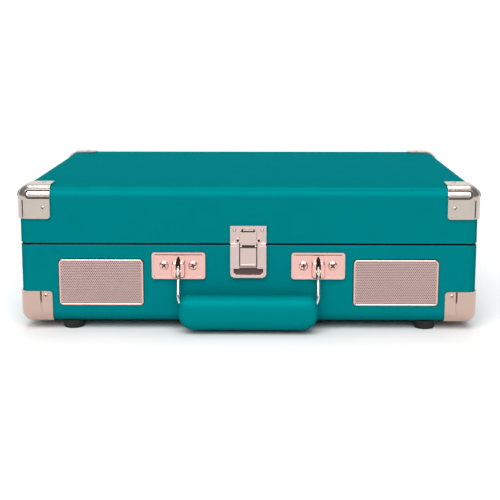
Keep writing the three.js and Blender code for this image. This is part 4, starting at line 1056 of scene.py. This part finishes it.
PLATTER_PROFILE = [
    (3.3, 56.8), (8, 56.8), (8, 64), (52, 64), (52, 57), (55, 57), (55, 64), (94, 64), (94, 56.4),
    (94.3, 56.2), (97.2, 56.2), (97.5, 56.5), (97.5, 58.4), (96.9, 58.8), (96.9, 59.6), (97.5, 60),
    (97.5, 66.2), (97.2, 66.8), (96.4, 67), (3.3, 67),
]
platter_disc = turned("platter_disc", PLATTER_PROFILE, PLATTER, 128)
piece(platter_disc, "platter", platter_metal, "platter_metal", "platter")

mat_profile = [(4, MAT_BOTTOM)]
for i in range(1, 24):
    mat_profile.append((4 + (MAT_RADIUS - 4) * i / 24, MAT_BOTTOM))
mat_profile += [(MAT_RADIUS - 0.2, MAT_BOTTOM), (MAT_RADIUS, MAT_BOTTOM + 0.3), (MAT_RADIUS, MAT_TOP - 0.3)]
mat_profile += [(MAT_RADIUS - 0.3, MAT_TOP)]
for i in range(23, -1, -1):
    mat_profile.append((4 + (MAT_RADIUS - 4) * i / 24, MAT_TOP))
felt = turned("felt_mat", mat_profile, PLATTER, 128)
piece(felt, "platter", mat_felt, "mat_felt", "slip_mat")

SPINDLE = [(0, 49), (3, 49), (3, 54.3), (7, 54.3), (7, 56.4), (3, 56.4)]
SPINDLE += [(3, 76.6), (2.7, 77.6), (1.4, 79.3), (0, 79.5)]
piece(turned("spindle_pin", SPINDLE, PLATTER, 32), "base", zinc_steel, "zinc_steel", "spindle")

PULLEY_PROFILE = [
    (0, 41), (1.2, 41), (1.2, 56.8), (4.25, 56.8), (4.25, 57.6), (2.75, 57.6), (2.9, 60), (2.75, 62.4),
    (4.25, 62.4), (4.25, 63.2), (0, 63.2),
]
pulley_turned = turned("pulley_turned", PULLEY_PROFILE, PULLEY, 32)
piece(pulley_turned, "motor_pulley", pulley_brass, "pulley_brass", "motor_pulley")

ADAPTER_PROFILE = [(3.7, 56.3), (19, 56.3), (19, 60.6), (18.7, 61.2)]
ADAPTER_PROFILE += [(17.5, 62.3), (8.2, 62.3), (7.6, 62), (3.7, 59.3)]
adapter_disc = turned("adapter_disc", ADAPTER_PROFILE, ADAPTER, 56)
piece(adapter_disc, "adapter_45", black_plastic, "black_plastic", "adapter_45")

# ---- Tonearm ---------------------------------------------------------------------------------------------


def arm_base():
    profile = [(2.5, 51), (7, 51), (7, 60.3), (16.6, 60.3), (17, 60.7)]
    profile += [(17, 66), (16.6, 67), (15.2, 68.1), (2.5, 68.1)]
    round_part = turned("arm_pedestal", profile, (ARM_X, ARM_Y), 64)
    bore = prism("bore", circle(2, (190, 66), 20), "x", 119, 126)
    lug = soften_now(cut(box("lug", (120, 185, 60.3), (125, 202, 70)), bore), 0.5, 2)
    web = soften_now(box("web", (116, 196, 60.3), (125, 210, 65)), 0.5, 2)
    return together(round_part, lug, web)


def arm():
    """Pivot block, tube, headshell with its finger lift, and the weight, moulded in one."""
    hub = box("arm", (ARM_X - 7, ARM_Y - 7, ARM_Z - 5.5), (ARM_X + 7, ARM_Y + 7, ARM_Z + 5.5))
    hub = soften_now(hub, 1.6, 4)
    pins = prism("pins", circle(1.2, (ARM_Y, ARM_Z), 16), "x", ARM_X - 10.5, ARM_X + 10.5)
    tube_profile = [(0, STYLUS_Y + 22), (4, STYLUS_Y + 22), (4, ARM_Y + 20), (0, ARM_Y + 20)]
    straight = turned("tube", tube_profile, (ARM_X, ARM_Z), 32, "y")
    weight_profile = [(0, 234), (8.9, 234), (9.5, 234.6), (9.5, 250.2), (8.7, 251), (0, 251)]
    weight = turned("weight", weight_profile, (ARM_X, ARM_Z), 48, "y")
    outline = [(-7, -9), (7, -9), (7, 14), (4, 28), (-4, 28), (-7, 14)]
    shell = prism("shell", [(ARM_X + x, STYLUS_Y + y) for x, y in outline], "z", ARM_Z - 1, ARM_Z + 3)
    lift_outline = [(ARM_X + x, STYLUS_Y + y) for x, y in ((6, -4), (15, -4), (17, -2), (17, 0), (6, 0))]
    lift = prism("lift", lift_outline, "z", ARM_Z, ARM_Z + 1.2)
    return together(hub, pins, straight, weight, soften_now(shell, 0.9, 3), soften_now(lift, 0.3, 2))


piece(arm_base(), "base", black_plastic, "black_plastic", "tonearm_base")
piece(arm(), "tonearm", black_plastic, "black_plastic", "tonearm")

# ---- Controls --------------------------------------------------------------------------------------------


def knob():
    profile = [(0, 42), (2.6, 42), (2.6, 61), (10, 61), (10, 69), (9.6, 70.2), (8.6, 71), (0, 71)]
    body = turned("knob", profile, VOLUME, 60)
    ridges = []
    for i in range(30):
        turn = 2 * math.pi * i / 30
        at = (VOLUME[0] + 10.0 * math.cos(turn), VOLUME[1] + 10.0 * math.sin(turn))
        ridges.append(round_hole(0.35, at, 60, 68.6, 8))
    return cut(body, *ridges)


piece(knob(), "volume_knob", black_plastic, "black_plastic", "volume_knob")
pointer = prism("knob_pointer", rounded(1.2, 6.6, 0.5, 3, (VOLUME[0], VOLUME[1] + 6.2)), "z", 70.6, 71.4)
piece(pointer, "volume_knob", print_white, None)


def dial_marks():
    """Eleven strokes around the volume knob, printed on the deck."""
    marks = []
    for i in range(11):
        turn = math.radians(90 + 135 - 27 * i)
        a, b = math.cos(turn), math.sin(turn)
        inner, outer = 12.2, 14.6 if i % 5 == 0 else 13.8
        across = (-b * 0.25, a * 0.25)
        outline = [(inner, 1), (outer, 1), (outer, -1), (inner, -1)]
        points = [(VOLUME[0] + r * a + k * across[0], VOLUME[1] + r * b + k * across[1]) for r, k in outline]
        marks.append(prism("volume_marks", points, "z", DECK_TOP + 0.02, DECK_TOP + 0.08))
    return together(*marks)


def printed(name, text, at, size):
    """Raised lettering, flat on the deck."""
    curve = bpy.data.curves.new(name, "FONT")
    curve.body = text
    curve.size = size / 1000
    curve.extrude = 0.00004
    curve.align_x = "CENTER"
    curve.align_y = "CENTER"
    source = bpy.data.objects.new(name + "_text", curve)
    bpy.context.scene.collection.objects.link(source)
    source.location = world((at[0], at[1], DECK_TOP + 0.06))
    bpy.context.view_layer.update()
    graph = bpy.context.evaluated_depsgraph_get()
    mesh = bpy.data.meshes.new_from_object(source.evaluated_get(graph))
    mesh.transform(source.matrix_world)
    made = bpy.data.objects.new(name, mesh)
    bpy.context.scene.collection.objects.link(made)
    bpy.data.objects.remove(source)
    return made


piece(dial_marks(), "base", print_white, None)
for text, x in (("33", 134), ("45", 140), ("78", 146)):
    piece(printed("speed_" + text, text, (x, 83.5), 3.6), "base", print_white, None)
piece(printed("stop_words", "AUTO STOP", (140, 103), 3.0), "base", print_white, None)

# ---- Rear sockets and board details ----------------------------------------------------------------------

for name, x, look in (("red", 34, socket_red), ("white", 50, socket_white)):
    ring_profile = [(4.3, 258.2), (6, 258.2), (6, 260.6), (5.6, 261), (4.3, 261)]
    piece(turned(f"socket_ring_{name}", ring_profile, (x, 36), 32, "y"), "base", look, None)
for i, x in enumerate((116, 128)):
    can = turned(f"capacitor_{i}", [(0, 31.6), (4.6, 31.6), (4.6, 45.6), (4.2, 46.1), (0, 46.1)], (x, 84), 24)
    piece(can, "base", capacitor_blue, None)

# ---- Floor, light and the end -----------------------------------------------------------------------------

FLOOR_REACH = 40000
floor_corners = [(x * FLOOR_REACH, y * FLOOR_REACH, 0) for x, y in ((-1, -1), (1, -1), (1, 1), (-1, 1))]
floor = mesh_object("floor", floor_corners, [(0, 1, 2, 3)])
pale = Look("pale_floor", (0.74, 0.74, 0.74, 1), 0.9, specular=0.0)
floor.data.materials.append(pale.material)


def soft_sun(name, elevation, azimuth, spread, strength):
    """A broad soft light over the whole floor. Azimuth 0 comes from the front, and grows to the right."""
    data = bpy.data.lights.new(name, "SUN")
    data.angle = math.radians(spread)
    data.energy = strength
    lamp = bpy.data.objects.new(name, data)
    lamp.rotation_euler = Euler((math.radians(90 - elevation), 0, math.radians(azimuth)))
    bpy.context.scene.collection.objects.link(lamp)
    return lamp


soft_sun("key", 44, -6, 60, 3.9)
soft_sun("top", 74, 180, 30, 1.0)

surroundings = bpy.data.worlds.new("studio")
surroundings.use_nodes = True
sky = surroundings.node_tree
background = sky.nodes["Background"]
background.inputs["Color"].default_value = (1, 1, 1, 1)
direction = sky.nodes.new("ShaderNodeTexCoord")
parts = sky.nodes.new("ShaderNodeSeparateXYZ")
towards_back = sky.nodes.new("ShaderNodeMapRange")
towards_back.inputs["From Min"].default_value = 0.35
towards_back.inputs["From Max"].default_value = 0.85
towards_back.inputs["To Min"].default_value = 0.22
towards_back.inputs["To Max"].default_value = 1.05
sky.links.new(direction.outputs["Generated"], parts.inputs["Vector"])
sky.links.new(parts.outputs["Y"], towards_back.inputs["Value"])
sky.links.new(towards_back.outputs["Result"], background.inputs["Strength"])
bpy.context.scene.world = surroundings
bpy.context.scene.view_settings.view_transform = "Standard"
